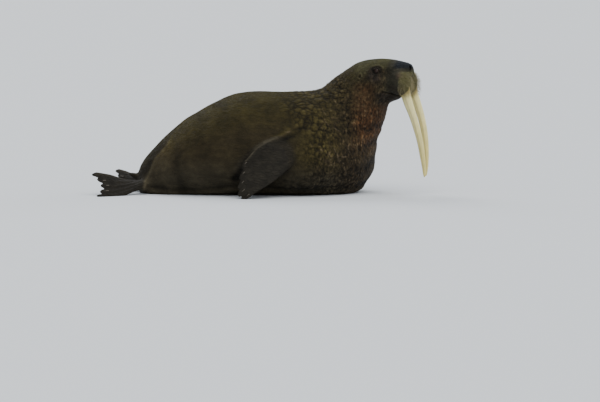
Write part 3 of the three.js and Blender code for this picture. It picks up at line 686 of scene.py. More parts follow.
# The two long folds of the flank, by x and z, as ridges with a furrow beside them
HIP_FOLD = {"line": [(-700, 560), (-765, 467), (-892, 272), (-977, 119), (-1010, 20)],
            "height": 12, "width": 22, "furrow": 11, "furrow_from": 38}
ARMPIT_FOLD = {"line": [(-210, 235), (-170, 281), (0, 415), (153, 505), (323, 600), (380, 690)],
               "height": 13, "width": 20, "furrow": 15, "furrow_from": 42}
FURROW_WIDTH = 26
COARSE_BOSS, FINE_BOSS = 60, 34        # sizes of the neck's knobs
DARKEST = 1.3                          # the limit of a crease's darkness
RELIEF_LIMITS = (-24, 13)
NECK_CREASES = [
    # how far along the neck, depth, width in the same measure
    (0.955, 9, 0.022), (0.885, 7, 0.018), (0.815, 9, 0.02),
    (0.74, 6, 0.018), (0.66, 8, 0.022), (0.57, 5, 0.02),
]
DEEPEST_CREASE = 9


def fold(away, side, shape, nearby):
    """A ridge along a line, and a furrow on the side where side is negative."""
    ridge = shape["height"] * bump(away, shape["width"])
    return ridge - shape["furrow"] * bump(side + shape["furrow_from"], FURROW_WIDTH) * nearby


def hip_fold(p, wobble):
    """The fold behind the hip: how far it stands out, the shade behind it, and the light along it."""
    x, y, z = p.T
    off_middle = np.abs(y)
    away, side = line_distance(x + wobble, z, HIP_FOLD["line"])
    out = smooth_step(190, 340, off_middle) * fold(away, side, HIP_FOLD, away < 120)
    height = z + 150 * noise(p, 260, 54)
    beyond = smooth_step(2, -24, side) * (x < -640) * smooth_step(640, 360, height)
    beyond *= 0.9 + 0.3 * noise(p, 120, 55) - 0.4 * smooth_step(170, 30, off_middle)
    inside = 0.5 * smooth_step(-4, 12, side) * smooth_step(210, 20, side)
    light = np.maximum(bump(away, 17), inside) * smooth_step(90, 260, off_middle)
    return out, beyond, light * smooth_step(-600, -720, x)


def armpit_fold(p, wobble):
    """The fold over the armpit, and the shade under it."""
    x, y, z = p.T
    away, side = line_distance(x, z + 0.5 * wobble, ARMPIT_FOLD["line"])
    flank = smooth_step(330, 430, np.abs(y)) * smooth_step(-330, -200, x) * (1 - smooth_step(330, 470, x))
    flank *= 1 - 0.75 * smooth_step(90, 290, x)
    out = flank * fold(away, side, ARMPIT_FOLD, smooth_step(110, 80, away))
    return out, flank * bump(side + 48, 34) * smooth_step(140, 90, away)


def neck_creases(p, on_neck):
    """Creases round the raised neck."""
    x, _, z = p.T
    t = along_neck(p) + 0.022 * noise(p, 150, 41) + 0.008 * noise(p, 45, 42)
    creases = sum(depth * bump(t - place, width) for place, depth, width in NECK_CREASES)
    strength = on_neck * smooth_step(450, 620, z) * (0.3 + 0.3 * noise(p, 210, 43))
    return creases * strength * (1 - 0.92 * smooth_step(660, 780, x) * smooth_step(880, 760, z))


def rolls(p, on_neck):
    """Shallow rolls over the chest and the rump, and one where the body spreads on the floor."""
    x, y, z = p.T
    chest = smooth_step(620, 880, x) * (1 - smooth_step(520, 700, z))
    chest_rows = np.sin((z + 0.25 * np.abs(y) + 60 * noise(p, 300, 51)) / 26)
    rump = (1 - on_neck) * smooth_step(-250, -700, x)
    rump_rows = np.sin((x + 0.3 * z + 90 * noise(p, 380, 52)) / 42)
    low = z + 22 * noise(p, 240, 53)
    spread_out = 5 * bump(low - 34, 22) - 3.5 * bump(low - 74, 18)
    return 3.4 * chest * chest_rows + 2.4 * rump * rump_rows + spread_out


def body_relief(p):
    """How far the skin stands out, the painted shade of its folds and creases, and the relief that shows as
    painted light and shade in its tone.
    """
    on_neck = smooth_step(120, 430, p[:, 0])
    swell = 4.5 * layered_noise(p, 260, 11)
    wobble = 26 * noise(p, 130, 31) + 9 * noise(p, 50, 32)
    bosses, shade_between_bosses = boss_relief(p)
    hip, shade_beyond_hip, hip_light = hip_fold(p, wobble)
    armpit, shade_under_armpit = armpit_fold(p, wobble)
    creases = neck_creases(p, on_neck)
    lumps = 2.2 * noise(p * (1, 0.7, 0.7), 85, 21)
    out = swell + lumps + bosses + hip + armpit - creases + rolls(p, on_neck)
    # Painted shade behind the hip fold, under the armpit's fold, in the neck's creases and between the
    # bosses; painted light along the hip fold's ridge.
    dark = 0.7 * shade_beyond_hip + 0.6 * shade_under_armpit + creases / DEEPEST_CREASE
    dark += shade_between_bosses * smooth_step(-350, 150, p[:, 0])
    return out, np.clip(dark, 0, DARKEST), out - swell + 10 * hip_light


def boss_relief(p):
    """The hard knobs on a bull's neck and shoulders, smaller towards the throat, and the painted shade in
    the creases between them.
    """
    x = p[:, 0]
    strength = smooth_step(60, 480, x + 90 * noise(p, 150, 68)) * (1 - 0.6 * smooth_step(820, 960, x))
    strength *= 1 - smooth_step(0.8, 0.98, along_neck(p))
    out, creases = np.zeros(len(p)), np.zeros(len(p))
    here = strength > 0.01
    if not here.any():
        return out, creases
    near = p[here]
    warp = noise_vector(near, 120, 61)
    coarse = domed(plates((near + 36 * warp) * (1.15, 1, 0.82), COARSE_BOSS, 64))
    fine = domed(plates((near + 16 * warp) * (1.2, 1, 0.75), FINE_BOSS, 65))
    share = smooth_step(450, 760, near[:, 0] + 0.25 * (near[:, 2] - 500))
    share = np.maximum(share, 0.85 * smooth_step(610, 440, near[:, 2]))
    raised = 12 * (1 - share) * (coarse - 0.62) + (2.6 + 4.4 * share) * (fine - 0.62)
    raised += 4.2 * (0.4 + 0.6 * share) * noise(near * (1.2, 1.2, 0.7), 25, 67)
    patchy = strength[here] * (0.82 + 0.4 * noise(near, 130, 66))
    out[here] = patchy * raised
    # Painted shade in the creases between the knobs.
    edge = 1.25 * (1 - share) * (1 - coarse) ** 2 + (0.3 + 0.4 * share) * (1 - fine) ** 2
    creases[here] = patchy * edge
    return out, creases


def domed(from_crease):
    """Steep beside the crease and round on top."""
    return 1 - (1 - np.clip(from_crease / 0.72, 0, 1)) ** 2.4


def eye_relief(q, p, eye):
    """Rings of wrinkles, a brow and a pouch round an eye, and the painted shade round it."""
    forward, up, outward = eye_frame(q, eye)
    on_this_side = outward > -60
    away = np.hypot(forward / 1.2, up)
    rings = np.sin((away + 2.5 * noise(p, 30, 73)) / 2.0)
    around = smooth_step(26, 31, away) * (1 - smooth_step(46, 74, away))
    out = 1.3 * rings * around + 4 * bump(away - 44, 14) * (up > -8) - 2.5 * bump(away - 30, 6)
    # Painted shade round the eye.
    return out * on_this_side, 0.8 * (1 - smooth_step(20, 64, away)) * on_this_side


def mouth_relief(q, p):
    """The line of the mouth between its lips, the groove under the nose and the sockets of the tusks, with
    painted shade in each.
    """
    x, y, z = q.T
    socket = from_tusk(q)
    beside_tusk = smooth_step(-30, -60, z) * (x > 340)
    out = beside_tusk * (5.5 * bump(socket - 9, 6) - 4 * bump(socket, 4))
    # Painted shade in the tusk's socket, the mouth's line and the groove under the nose.
    dark = beside_tusk * bump(socket - 1, 4)

    line = z - mouth_height(x) + 2 * noise(p, 50, 74)
    mouth = smooth_step(216, 250, x) * (1 - smooth_step(430, 470, x)) * smooth_step(100, 75, np.abs(line))
    out += mouth * (2.5 * (bump(line - 13, 7) + bump(line + 13, 7)) - 7 * bump(line, 5.5))
    dark += 0.18 * mouth * bump(line, 6)

    front = smooth_step(330, 390, x) * (1 - smooth_step(60, 95, z)) * smooth_step(-135, -110, z)
    groove = bump(y, 6.5) * front
    return out - 7 * groove, dark + groove


def pad_border(q, p):
    """The step behind a whisker pad, with painted shade in its furrow."""
    x, _, z = q.T
    y = np.abs(q[:, 1])
    pad_centre, pad_radii, _ = SKULL_PAIRS[1]
    from_pad = ellipsoid(np.stack([x, y, z], 1), pad_centre, pad_radii) + 3 * noise(p, 60, 75)
    beside = (1 - smooth_step(330, 400, x)) * smooth_step(-105, -80, z) * smooth_step(30, 60, y)
    beside *= 0.55 + 0.45 * noise(p, 70, 78)
    out = 1.0 * bump(from_pad - 2, 10) - 2.2 * bump(from_pad - 18, 11) + 1.2 * bump(from_pad - 34, 12)
    return beside * out, 0.08 * beside * bump(from_pad - 18, 12)


def nose_and_ear_relief(q, side):
    """The rim of a nostril and the opening of an ear, with painted shade inside both."""
    q = q * (1, side, 1)
    slit = nostril(q)
    out = 1.8 * bump(slit - 9, 5) * (q[:, 0] > 380)
    dark = 1.4 * smooth_step(7, -1, slit) * (slit < 12)
    ear = q - EAR["centre"]
    reach = np.hypot(ear[:, 0] / EAR["half_size"][0], ear[:, 2] / EAR["half_size"][1])
    here = smooth_step(0, 40, ear[:, 1])
    out += here * (4.5 * bump(reach - 1.6, 0.55) - 9 * bump(reach, 0.8))
    return out, dark + here * 1.2 * bump(reach, 0.9)


def head_relief(q, p):
    """Wrinkles, creases and the mouth's line on the head, with the painted shade in its hollows, for points
    in its own frame and the body's.
    """
    x, _, z = q.T
    cheek = smooth_step(260, 190, x) * smooth_step(60, -20, z)
    cheek_rows = np.sin((x * 0.8 - z * 0.6 + 14 * noise(p, 80, 76)) / 5.5)
    bridge = smooth_step(300, 330, x) * smooth_step(75, 110, z) * (1 - smooth_step(400, 425, x))
    bridge_rows = np.sin((x + 6 * noise(p, 45, 77)) / 4.2)
    out = 1.8 * noise(p, 60, 71) + 0.8 * noise(p, 24, 72) + 1.6 * cheek * cheek_rows + bridge * bridge_rows
    dark = np.zeros(len(q))
    features = [eye_relief(q, p, eye) for eye in EYES.values()]
    features += [mouth_relief(q, p), pad_border(q, p)]
    features += [nose_and_ear_relief(q, side) for side in SIDES.values()]
    for relief, shade in features:
        out += relief
        dark += shade
    return out, np.clip(dark, 0, DARKEST)


def near_flippers(p):
    """0 away from the flippers, 1 on them: their skin is bare and darker."""
    share = np.zeros(len(p))
    for shape in FLIPPERS.values():
        q = on_own_side(shape, p)
        steps = np.linspace(0, 1, 14)
        steps = steps[steps >= BARE_SKIN_STARTS]
        centres, widths = bezier(shape["bend"], steps), list_value(shape["half_width"], steps)
        for t, centre, width in zip(steps, centres, widths):
            grown = smooth_step(BARE_SKIN_STARTS, BARE_SKIN_STARTS + 0.14, t)
            away = np.linalg.norm(q - centre, axis=1)
            share = np.maximum(share, grown * (1 - smooth_step(width * 0.95, width * 1.35, away)))
    return share


def flipper_rim_highlights(p):
    """1 along each flipper's upper edge, where its skin is painted lighter as a highlight."""
    share = np.zeros(len(p))
    u = np.linspace(0.2, 0.97, 40)
    for shape in FLIPPERS.values():
        rim = flipper_point(shape, u, np.full(len(u), 0.985), 0)
        near = (np.abs(p - rim.mean(0)) < FLIPPER_REACH).all(1)
        away = np.linalg.norm(p[near][:, None, :] - rim[None], axis=2).min(1)
        share[near] = np.maximum(share[near], 1 - smooth_step(8, 27, away))
    return share


# Colours, the same for skin and coat, as light reflected by red, green and blue
HIDE = np.array([0.036, 0.027, 0.012])
# Olive hide where it faces up: partly the short hair's colour, partly painted light and sheen from above
HIDE_TOP = np.array([0.045, 0.036, 0.009])
HIDE_LOW = np.array([0.044, 0.037, 0.023])
SHOULDERS = np.array([0.062, 0.049, 0.015])
NECK_RED = np.array([0.086, 0.036, 0.013])
CHEST = np.array([0.033, 0.023, 0.013])
FLECK = np.array([0.145, 0.102, 0.052])
# Olive of the crown, mixed in where the head faces up: partly its colour, partly painted light
CROWN = np.array([0.078, 0.074, 0.034])
CHEEK = np.array([0.040, 0.030, 0.015])
EYE_SHADE = np.array([0.024, 0.018, 0.015])
MUZZLE_SIDE = np.array([0.036, 0.033, 0.021])
PAD = np.array([0.092, 0.088, 0.036])
PAD_BROWN = np.array([0.110, 0.074, 0.046])
SNOUT_TOP = np.array([0.012, 0.016, 0.023])
CHIN = np.array([0.022, 0.017, 0.012])
FOOT = np.array([0.021, 0.018, 0.013])
# Painted highlight along the flippers' upper edges
FOOT_RIM_HIGHLIGHT = np.array([0.080, 0.068, 0.046])
# Painted shade for creases, folds, hollows and openings
CREASE_SHADE = np.array([0.008, 0.006, 0.004])
SCAR = np.array([0.19, 0.14, 0.085])
FACE_FORWARD = np.array([math.cos(HEAD_YAW), math.sin(HEAD_YAW), 0])
SCAR_GROUPS = [((700, 420), 18), ((520, 330), 12), ((620, 640), 9), ((100, 560), 3)]   # x and z, count
SCAR_SPREAD = (110, 120)
SCAR_REACH = 150                       # no scar is farther than this from its middle


def mixed(a, b, share):
    return a + (b - a) * share[:, None]


def drawn_scars():
    """Places, lengths and turns of old scars, spread about a few middles on each side."""
    draw = np.random.default_rng(5)
    scars = []
    for middle, count in SCAR_GROUPS:
        for _ in range(count):
            scars.append({
                "start": middle + draw.normal(0, SCAR_SPREAD),
                "turn": draw.uniform(-1.4, 0.5),
                "length": draw.uniform(40, 120),
                "width": draw.uniform(2.0, 3.6),
                "side": draw.choice([-1, 1]),
            })
    return scars


SCARS = drawn_scars()


def scar_share(p):
    """Light, thin scars of old fights on the neck, shoulders and flanks."""
    share = np.zeros(len(p))
    for scar in SCARS:
        offset = p[:, [0, 2]] - scar["start"]
        here = (np.abs(offset) < SCAR_REACH).all(1) & (p[:, 1] * scar["side"] > 120)
        along, across = turned(*offset[here].T, scar["turn"])
        half = scar["length"] / 2
        fade = smooth_step(half, half - 22, np.abs(along))
        share[here] = np.maximum(share[here], fade * bump(across - 0.0022 * along ** 2, scar["width"]))
    return share


def face_colours(p, facing, blotch):
    """Olive on the crown and pads, dark round the eyes and on the muzzle's sides, and redder cheeks. The
    crown's olive where the head faces up and the pads' olive where they face forward are partly painted
    light, and the muzzle's dark sides are partly painted shade.
    """
    q = to_head(p)
    x, y, z = q.T
    # Olive where the head faces up: partly its colour, partly painted light from above.
    face = mixed(CHEEK, CROWN, smooth_step(0.1, 0.9, facing[:, 2]))
    red = smooth_step(130, 40, np.abs(x - 85)) * smooth_step(20, -60, z)
    face = mixed(face, NECK_RED, 0.75 * red * blotch)
    for eye in EYES.values():
        forward, up, out = eye_frame(q, eye)
        away = np.hypot((forward + 10) / 66, (up + 34) / 82) + 0.2 * noise(p, 40, 87)
        face = mixed(face, EYE_SHADE, 0.85 * smooth_step(1.3, 0.5, away) * (out > -60))
    muzzle = smooth_step(228, 300, x + 14 * noise(p, 60, 88))
    # The muzzle's sides darker: partly their colour, partly painted shade.
    face = mixed(face, MUZZLE_SIDE, muzzle)
    forward = x + 0.5 * np.minimum(z, 0)
    # Partly by how the pad faces: lighter facing forward, as painted light.
    front = 0.6 * smooth_step(350, 415, forward) + 0.4 * smooth_step(0, 0.6, facing @ FACE_FORWARD)
    front = smooth_step(0.2, 0.9, front + 0.15 * noise(p, 50, 89))
    face = mixed(face, PAD, muzzle * front * smooth_step(96, 66, z))
    corner = smooth_step(375, 335, forward) * smooth_step(-10, -50, z) * muzzle
    face = mixed(face, CHIN, 0.6 * corner)
    under = smooth_step(6, -14, z - mouth_height(x)) * smooth_step(150, 220, x)
    face = mixed(face, CHIN, 0.9 * under * smooth_step(6, 22, from_tusk(q) + 40 * (z > -60)))
    brown = bump(np.hypot(x - 385, z - 50), 27) * (np.abs(y) > 60)
    face = mixed(face, PAD_BROWN, 0.55 * brown)
    snout = smooth_step(292, 345, x + 10 * noise(p, 50, 90)) * smooth_step(98, 124, z)
    return mixed(face, SNOUT_TOP, 0.9 * snout)


def facing_up(facing):
    return smooth_step(-0.1, 0.95, facing[:, 2])


def rough_share(p, facing):
    """1 on the flecked and scarred neck and throat."""
    on_muzzle = smooth_step(230, 320, to_head(p)[:, 0]) * head_share(p)
    return smooth_step(280, 520, p[:, 0]) * (1 - on_muzzle) * (1 - 0.8 * facing_up(facing))


def colours(p, facing, dark, relief):
    """Reflected colour at points of the skin, by how they face, with painted light on what faces up, painted
    shade by how deep in a crease and painted light and shade by how far out.
    """
    x, _, z = p.T
    up = facing_up(facing)
    blotch = 0.6 + 0.4 * layered_noise(p, 120, 81)
    low = 1 - smooth_step(120, 400, z)
    fore = smooth_step(560, 800, x + 0.15 * z) * (1 - 0.7 * up)
    throat = smooth_step(690, 850, x - 0.05 * (z - 500)) * smooth_step(260, 560, z)
    throat *= 1 - smooth_step(800, 1000, z)
    on_head = head_share(p)
    flecks = smooth_step(0.25, 0.75, noise(p * (1.25, 1.25, 0.7), 19, 82) + 0.35 * noise(p, 170, 85))
    flecks *= (0.4 + 0.6 * smooth_step(120, 420, z)) * (1 - 0.45 * on_head)
    feet = near_flippers(p)

    # Lighter and more olive where the skin faces up: partly the hair's colour, partly painted light from
    # above.
    tone = mixed(HIDE, HIDE_TOP, smooth_step(0.25, 0.95, facing[:, 2]))
    for colour, share in (
        (HIDE_LOW, 0.8 * low),
        (SHOULDERS, smooth_step(180, 420, x) * (1 - low)),
        (CHEST, 0.85 * fore),
        (NECK_RED, throat * blotch * (1 - 0.6 * up)),
        (face_colours(p, facing, blotch), on_head),
        (FLECK, 0.6 * flecks * rough_share(p, facing)),
        (FOOT, 0.92 * feet),
        # painted highlight along each flipper's upper edge
        (FOOT_RIM_HIGHLIGHT, 0.7 * flipper_rim_highlights(p))
    ):
        tone = mixed(tone, colour, share)
    streaks = noise(p * (0.3, 1, 1), 24, 86)
    tone *= (1 + 0.18 * layered_noise(p, 150, 83) + 0.15 * noise(p, 36, 84) + 0.24 * streaks)[:, None]
    # Painted light and shade: raised skin and the hip fold's ridge lighter, sunken skin darker.
    tone *= (1 + 0.11 * np.clip(relief, -7, 12))[:, None]
    tone = mixed(tone, SCAR, 0.6 * scar_share(p) * (1 - on_head) * (1 - feet))
    # Painted shade: darker by how deep a point lies in a crease, fold or hollow.
    return np.clip(mixed(tone, CREASE_SHADE, np.clip(0.75 * dark, 0, 0.9)), 0.004, 1)


# Meshes
def to_frame(p):
    """Metres of the frame, from millimetres of the body's coordinates."""
    return (p - ORIGIN) * 0.001


def add_to_scene(name, data):
    piece = bpy.data.objects.new(name, data)
    bpy.context.scene.collection.objects.link(piece)
    return piece


def make_mesh(name, points, faces, material, smooth=True):
    """A piece from points in millimetres and a list of arrays of faces, each with faces of like length."""
    mesh = bpy.data.meshes.new(name)
    corner = np.concatenate([array.ravel() for array in faces]).astype(np.int32)
    sizes = np.concatenate([np.full(len(array), array.shape[1], np.int32) for array in faces])
    starts = np.concatenate([[0], np.cumsum(sizes)[:-1]]).astype(np.int32)
    mesh.vertices.add(len(points))
    mesh.vertices.foreach_set("co", to_frame(points).astype(np.float32).ravel())
    mesh.loops.add(len(corner))
    mesh.loops.foreach_set("vertex_index", corner)
    mesh.polygons.add(len(sizes))
    mesh.polygons.foreach_set("loop_start", starts)
    mesh.polygons.foreach_set("loop_total", sizes)
    mesh.polygons.foreach_set("use_smooth", np.full(len(sizes), smooth))
    mesh.update(calc_edges=True)
    mesh.validate()
    mesh.materials.append(material)
    piece = add_to_scene(name, mesh)
    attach(piece, "root")
    return piece


def paint(piece, name, values):
    """Stores a colour or a share for each point of a mesh, for its material to read."""
    if values.ndim == 1:
        values = values[:, None].repeat(3, 1)
    rgba = np.concatenate([values, np.ones((len(values), 1))], 1)
    layer = piece.data.color_attributes.new(name, "FLOAT_COLOR", "POINT")
    layer.data.foreach_set("color", rgba.astype(np.float32).ravel())


def read(items, name, width, kind=np.float32):
    """An array of one property of a mesh's items, with a row for each item."""
    values = np.empty(len(items) * width, kind)
    items.foreach_get(name, values)
    return values.reshape(-1, width)


def mesh_points(piece):
    """A piece's points in millimetres of the body's coordinates."""
    return read(piece.data.vertices, "co", 3).astype(float) * 1000 + ORIGIN


def mesh_normals(piece):
    return read(piece.data.vertices, "normal", 3).astype(float)


def set_points(piece, points):
    piece.data.vertices.foreach_set("co", to_frame(points).astype(np.float32).ravel())
    piece.data.update()


# Materials
class Surface:
    """A material and short ways to build its nodes, on textures laid out in metres of the piece."""

    def __init__(self, name, **settings):
        self.material = bpy.data.materials.new(name)
        self.material.use_nodes = True
        self.nodes = self.material.node_tree.nodes
        self.links = self.material.node_tree.links
        self.places = {}
        self.shader = next(node for node in self.nodes if node.type == "BSDF_PRINCIPLED")
        for socket, value in settings.items():
            self.shader.inputs[socket.replace("_", " ")].default_value = value

    def node(self, kind, output, *values, **properties):
        """A node's output. Its inputs are numbers or outputs of other nodes, and None leaves one alone."""
        node = self.nodes.new(kind)
        for name, value in properties.items():
            setattr(node, name, value)
        for socket, value in zip(node.inputs, values):
            if isinstance(value, bpy.types.NodeSocket):
                self.links.new(value, socket)
            elif value is not None:
                socket.default_value = value
        return node.outputs[output]

    def painted(self, name, output="Fac"):
        return self.node("ShaderNodeAttribute", output, attribute_name=name)

    def place(self, stretch):
        """Places on the piece, stretched along its axes."""
        if stretch not in self.places:
            place = self.node("ShaderNodeTexCoord", "Object")
            self.places[stretch] = self.node("ShaderNodeMapping", "Vector", place, None, None, stretch)
        return self.places[stretch]

    def noise(self, stretch, scale, detail):
        """Noise from 0 to 1. It is finer along the axes that are stretched more."""
        return self.node("ShaderNodeTexNoise", "Fac", self.place(stretch), None, scale, detail)

    def plates(self, stretch, scale):
        """Low in the creases between skin plates and high on them."""
        edges = self.node("ShaderNodeTexVoronoi", "Distance", self.place(stretch), None, scale,
                          feature="DISTANCE_TO_EDGE")
        return self.node("ShaderNodeMapRange", "Result", edges, 0.0, 0.35, interpolation_type="SMOOTHSTEP")

    def math(self, operation, *values):
        return self.node("ShaderNodeMath", "Value", *values, operation=operation)

    def varied(self, texture, strength):
        """A factor about 1, from a texture about a half."""
        return self.math("ADD", self.math("MULTIPLY", self.math("SUBTRACT", texture, 0.5), strength), 1.0)

    def colour(self, value):
        self.links.new(value, self.shader.inputs["Base Color"])

    def shaded_tone(self, factor):
        """Colours the surface with its painted tone times a factor."""
        tone = self.painted("tone", "Color")
        scaled = self.node("ShaderNodeVectorMath", "Vector", tone, None, None, factor, operation="SCALE")
        self.colour(scaled)

    def ramp(self, factor, marks):
        """Colours the surface by a factor, from colours at places from 0 to 1."""
        output = self.node("ShaderNodeValToRGB", "Color", factor)
        elements = output.node.color_ramp.elements
        elements[0].position, elements[1].position = marks[0][0], marks[-1][0]
        for position, _ in marks[1:-1]:
            elements.new(position)
        for element, (_, colour) in zip(elements, marks):
            element.color = (*colour, 1)
        self.colour(output)

    def bumps(self, *layers):
        """Chains bumps, each a height and how far it reaches in millimetres."""
        under = None
        for height, reach in layers:
            node = self.nodes.new("ShaderNodeBump")
            node.inputs["Strength"].default_value = 1.0
            node.inputs["Distance"].default_value = reach * 0.001
            self.links.new(height, node.inputs["Height"])
            if under:
                self.links.new(under, node.inputs["Normal"])
            under = node.outputs["Normal"]
        self.links.new(under, self.shader.inputs["Normal"])


EVEN = (1, 1, 1)


def skin_material():
    """Creased, mottled skin with painted shade in the creases between its plates: furry but for the
    flippers, and with light strokes on the rough neck.
    """
    skin = Surface("walrus_skin", Roughness=0.66, Specular_IOR_Level=0.14)
    furry, rough = skin.painted("furry"), skin.painted("rough")
    large, small = skin.plates((0.55, 1, 1.25), 34), skin.plates(EVEN, 95)
    grain = skin.noise(EVEN, 420, 3)
    fur = skin.noise((90, 420, 420), 1, 2)
    strokes = skin.noise((66, 66, 36), 1, 3)
    mottle = skin.math("MULTIPLY_ADD", skin.noise(EVEN, 22, 5), 0.9, 0.42)
    # Painted shade, darker in the creases between the large plates.
    crease_shade = skin.math("MULTIPLY_ADD", large, 0.16, 0.86)
    strands = skin.varied(fur, skin.math("MULTIPLY", furry, 0.5))
    stroked = skin.math("MAXIMUM", skin.varied(strokes, skin.math("MULTIPLY", rough, 5.0)), 0.25)
    factor = mottle
    for part in (crease_shade, strands, stroked):
        factor = skin.math("MULTIPLY", factor, part)
    skin.shaded_tone(factor)
    stroke_height = skin.math("MULTIPLY", strokes, rough)
    fur_height = skin.math("MULTIPLY", fur, furry)
    skin.bumps((large, 3.2), (small, 1.5), (stroke_height, 6), (fur_height, 0.9), (grain, 0.5))
    return skin.material


def fur_material():
    fur = Surface("walrus_fur", Roughness=0.6, Specular_IOR_Level=0.12)
    strands = fur.noise((70, 300, 300), 1, 3)
    fur.shaded_tone(fur.math("MULTIPLY_ADD", strands, 0.9, 0.55))
    fur.bumps((strands, 0.4))
    return fur.material


def ivory_material():
    """Streaked along the tusk, stained in soft patches and finely chipped."""
    ivory = Surface("walrus_ivory", Roughness=0.42, Coat_Weight=0.12, Coat_Roughness=0.3,
                    Subsurface_Weight=0.08, Subsurface_Radius=(0.012, 0.008, 0.004))
    streaks = ivory.noise((150, 150, 9), 1, 4)
    streaked = ivory.math("MULTIPLY_ADD", streaks, 0.42, 0.68)
    stained = ivory.math("MULTIPLY_ADD", ivory.noise(EVEN, 16, 4), 0.3, 0.85)
    ivory.shaded_tone(ivory.math("MULTIPLY", streaked, stained))
    ivory.bumps((streaks, 1.0), (ivory.noise(EVEN, 300, 3), 0.25))
    return ivory.material


def claw_material():
    claw = Surface("walrus_claw", Roughness=0.4)
    streaks = claw.noise((180, 180, 180), 1, 3)
    claw.ramp(streaks, [(0, (0.028, 0.023, 0.018)), (1, (0.13, 0.105, 0.075))])
    claw.bumps((streaks, 0.3))
    return claw.material


def bristle_material():
    bristle = Surface("walrus_bristle", Roughness=0.38, Subsurface_Weight=0.1,
                      Subsurface_Radius=(0.004, 0.003, 0.002))
    bristle.ramp(bristle.noise((60, 60, 60), 1, 2), [(0, (0.17, 0.14, 0.065)), (1, (0.40, 0.35, 0.19))])
    return bristle.material


def eye_material():
    """Rings of colour round the pupil, by the painted angle from it as a share of a right angle."""
    eye = Surface("walrus_eye", Roughness=0.3, Specular_IOR_Level=0.12,
                  Coat_Weight=0.45, Coat_Roughness=0.06)
    angle = eye.math("ADD", eye.painted("from_pupil"), -0.025)
    blurred = eye.math("MULTIPLY_ADD", eye.noise(EVEN, 900, 3), 0.05, angle)
    eye.ramp(blurred, [
        (0, (0.002, 0.002, 0.002)), (0.17, (0.003, 0.002, 0.002)), (0.20, (0.024, 0.010, 0.005)),
        (0.36, (0.042, 0.018, 0.008)), (0.41, (0.008, 0.004, 0.003)), (0.47, (0.030, 0.017, 0.012)),
        (0.62, (0.040, 0.018, 0.013)), (1, (0.05, 0.018, 0.012)),
    ])
    return eye.material


SKIN = skin_material()
FUR = fur_material()
IVORY = ivory_material()
CLAW = claw_material()
BRISTLE = bristle_material()
EYEBALL = eye_material()


# The skin: the body's net and the flippers' blades, joined
def skin_relief(p):
    """Relief, painted shade of creases and the relief that shows as painted light and shade in the tone, on
    the body and the head.
    """
    relief = body_relief(p)
    on_head = head_share(p)
    here = on_head > 0.001
    share = on_head[here]
    head_out, head_dark = head_relief(to_head(p[here]), p[here])
    for values, of_head in zip(relief, (head_out, head_dark, head_out)):
        values[here] = values[here] * (1 - share) + of_head * share
    return relief


def inner_skin(p):
    """The field of the skin, which lies inside the solids but for the underside."""
    return skin_field(p) + COAT_DEPTH * (p[:, 2] > 4)


def make_body():
    points, quads = surface_net(inner_skin, [grid_lines(*axis) for axis in GRID])
    points = drawn_onto(inner_skin, points)
    points[:, 2] = np.maximum(points[:, 2], FLOOR_GAP)
    return points, quads


def signed_volume(points, quads):
    a, b, c, d = (points[quads[:, k]] for k in range(4))
    return (np.einsum("ij,ij->i", a, np.cross(b, c)) + np.einsum("ij,ij->i", a, np.cross(c, d))).sum() / 6


def grid_quads(number):
    """Quads between the rows and columns of a grid of point numbers."""
    return np.stack([number[:-1, :-1], number[:-1, 1:], number[1:, 1:], number[1:, :-1]], -1).reshape(-1, 4)


BLADE_ROWS, BLADE_COLUMNS = 64, 130
FLAT_ON_FLOOR = 7                      # how thick a blade stays where it is pressed to the floor


def make_blade(shape):
    """One flipper's closed blade, from inside its root to its tips."""
    u = BLADE_STARTS + (1 - BLADE_STARTS) * np.linspace(0, 1, BLADE_ROWS) ** 0.9
    v = -np.cos(np.linspace(0, np.pi, BLADE_COLUMNS))
    v = 0.55 * v + 0.45 * np.linspace(-1, 1, BLADE_COLUMNS)
    uu, vv = (a.ravel() for a in np.meshgrid(u, v, indexing="ij"))
    faces = [flipper_point(shape, uu, vv, face) for face in (1, -1)]
    upper_face = 0 if faces[0][:, 2].mean() > faces[1][:, 2].mean() else 1
    for face, points in enumerate(faces):
        lowest = FLOOR_GAP + (FLAT_ON_FLOOR if face == upper_face else 0)
        points[:, 2] = np.maximum(points[:, 2], lowest)
    points = np.concatenate(faces)
    number = np.arange(BLADE_ROWS * BLADE_COLUMNS).reshape(BLADE_ROWS, BLADE_COLUMNS)
    upper = grid_quads(number)
    lower = upper[:, [0, 3, 2, 1]] + number.size
    rim = np.concatenate([number[0, :], number[1:, -1], number[-1, -2::-1], number[-2::-1, 0]])
    sides = grid_quads(np.stack([rim, rim + number.size]))[:, ::-1]
    quads = np.concatenate([upper, lower, sides])
    if signed_volume(points, quads) < 0:
        quads = quads[:, ::-1]
    return points, quads


def joined(base, others):
    """The base with other closed pieces fused into it."""
    for other in others:
        modifier = base.modifiers.new("join", "BOOLEAN")
        modifier.operation = "UNION"
        modifier.solver = "MANIFOLD"
        modifier.object = other
    view = bpy.context.evaluated_depsgraph_get()
    mesh = bpy.data.meshes.new_from_object(base.evaluated_get(view))
    base.modifiers.clear()
    base.data = mesh
    for other in others:
        bpy.data.objects.remove(other)


def smoothed(points, edges, weight, passes):
    """Moves points towards the middle of their neighbours, by a weight for each point."""
    start, end = edges.T
    count = np.bincount(edges.ravel(), minlength=len(points))[:, None]
    for _ in range(passes):
        total = np.stack([np.bincount(start, values[end], len(points))
                          + np.bincount(end, values[start], len(points)) for values in points.T], 1)
        points = points + (total / np.maximum(count, 1) - points) * weight[:, None]
    return points


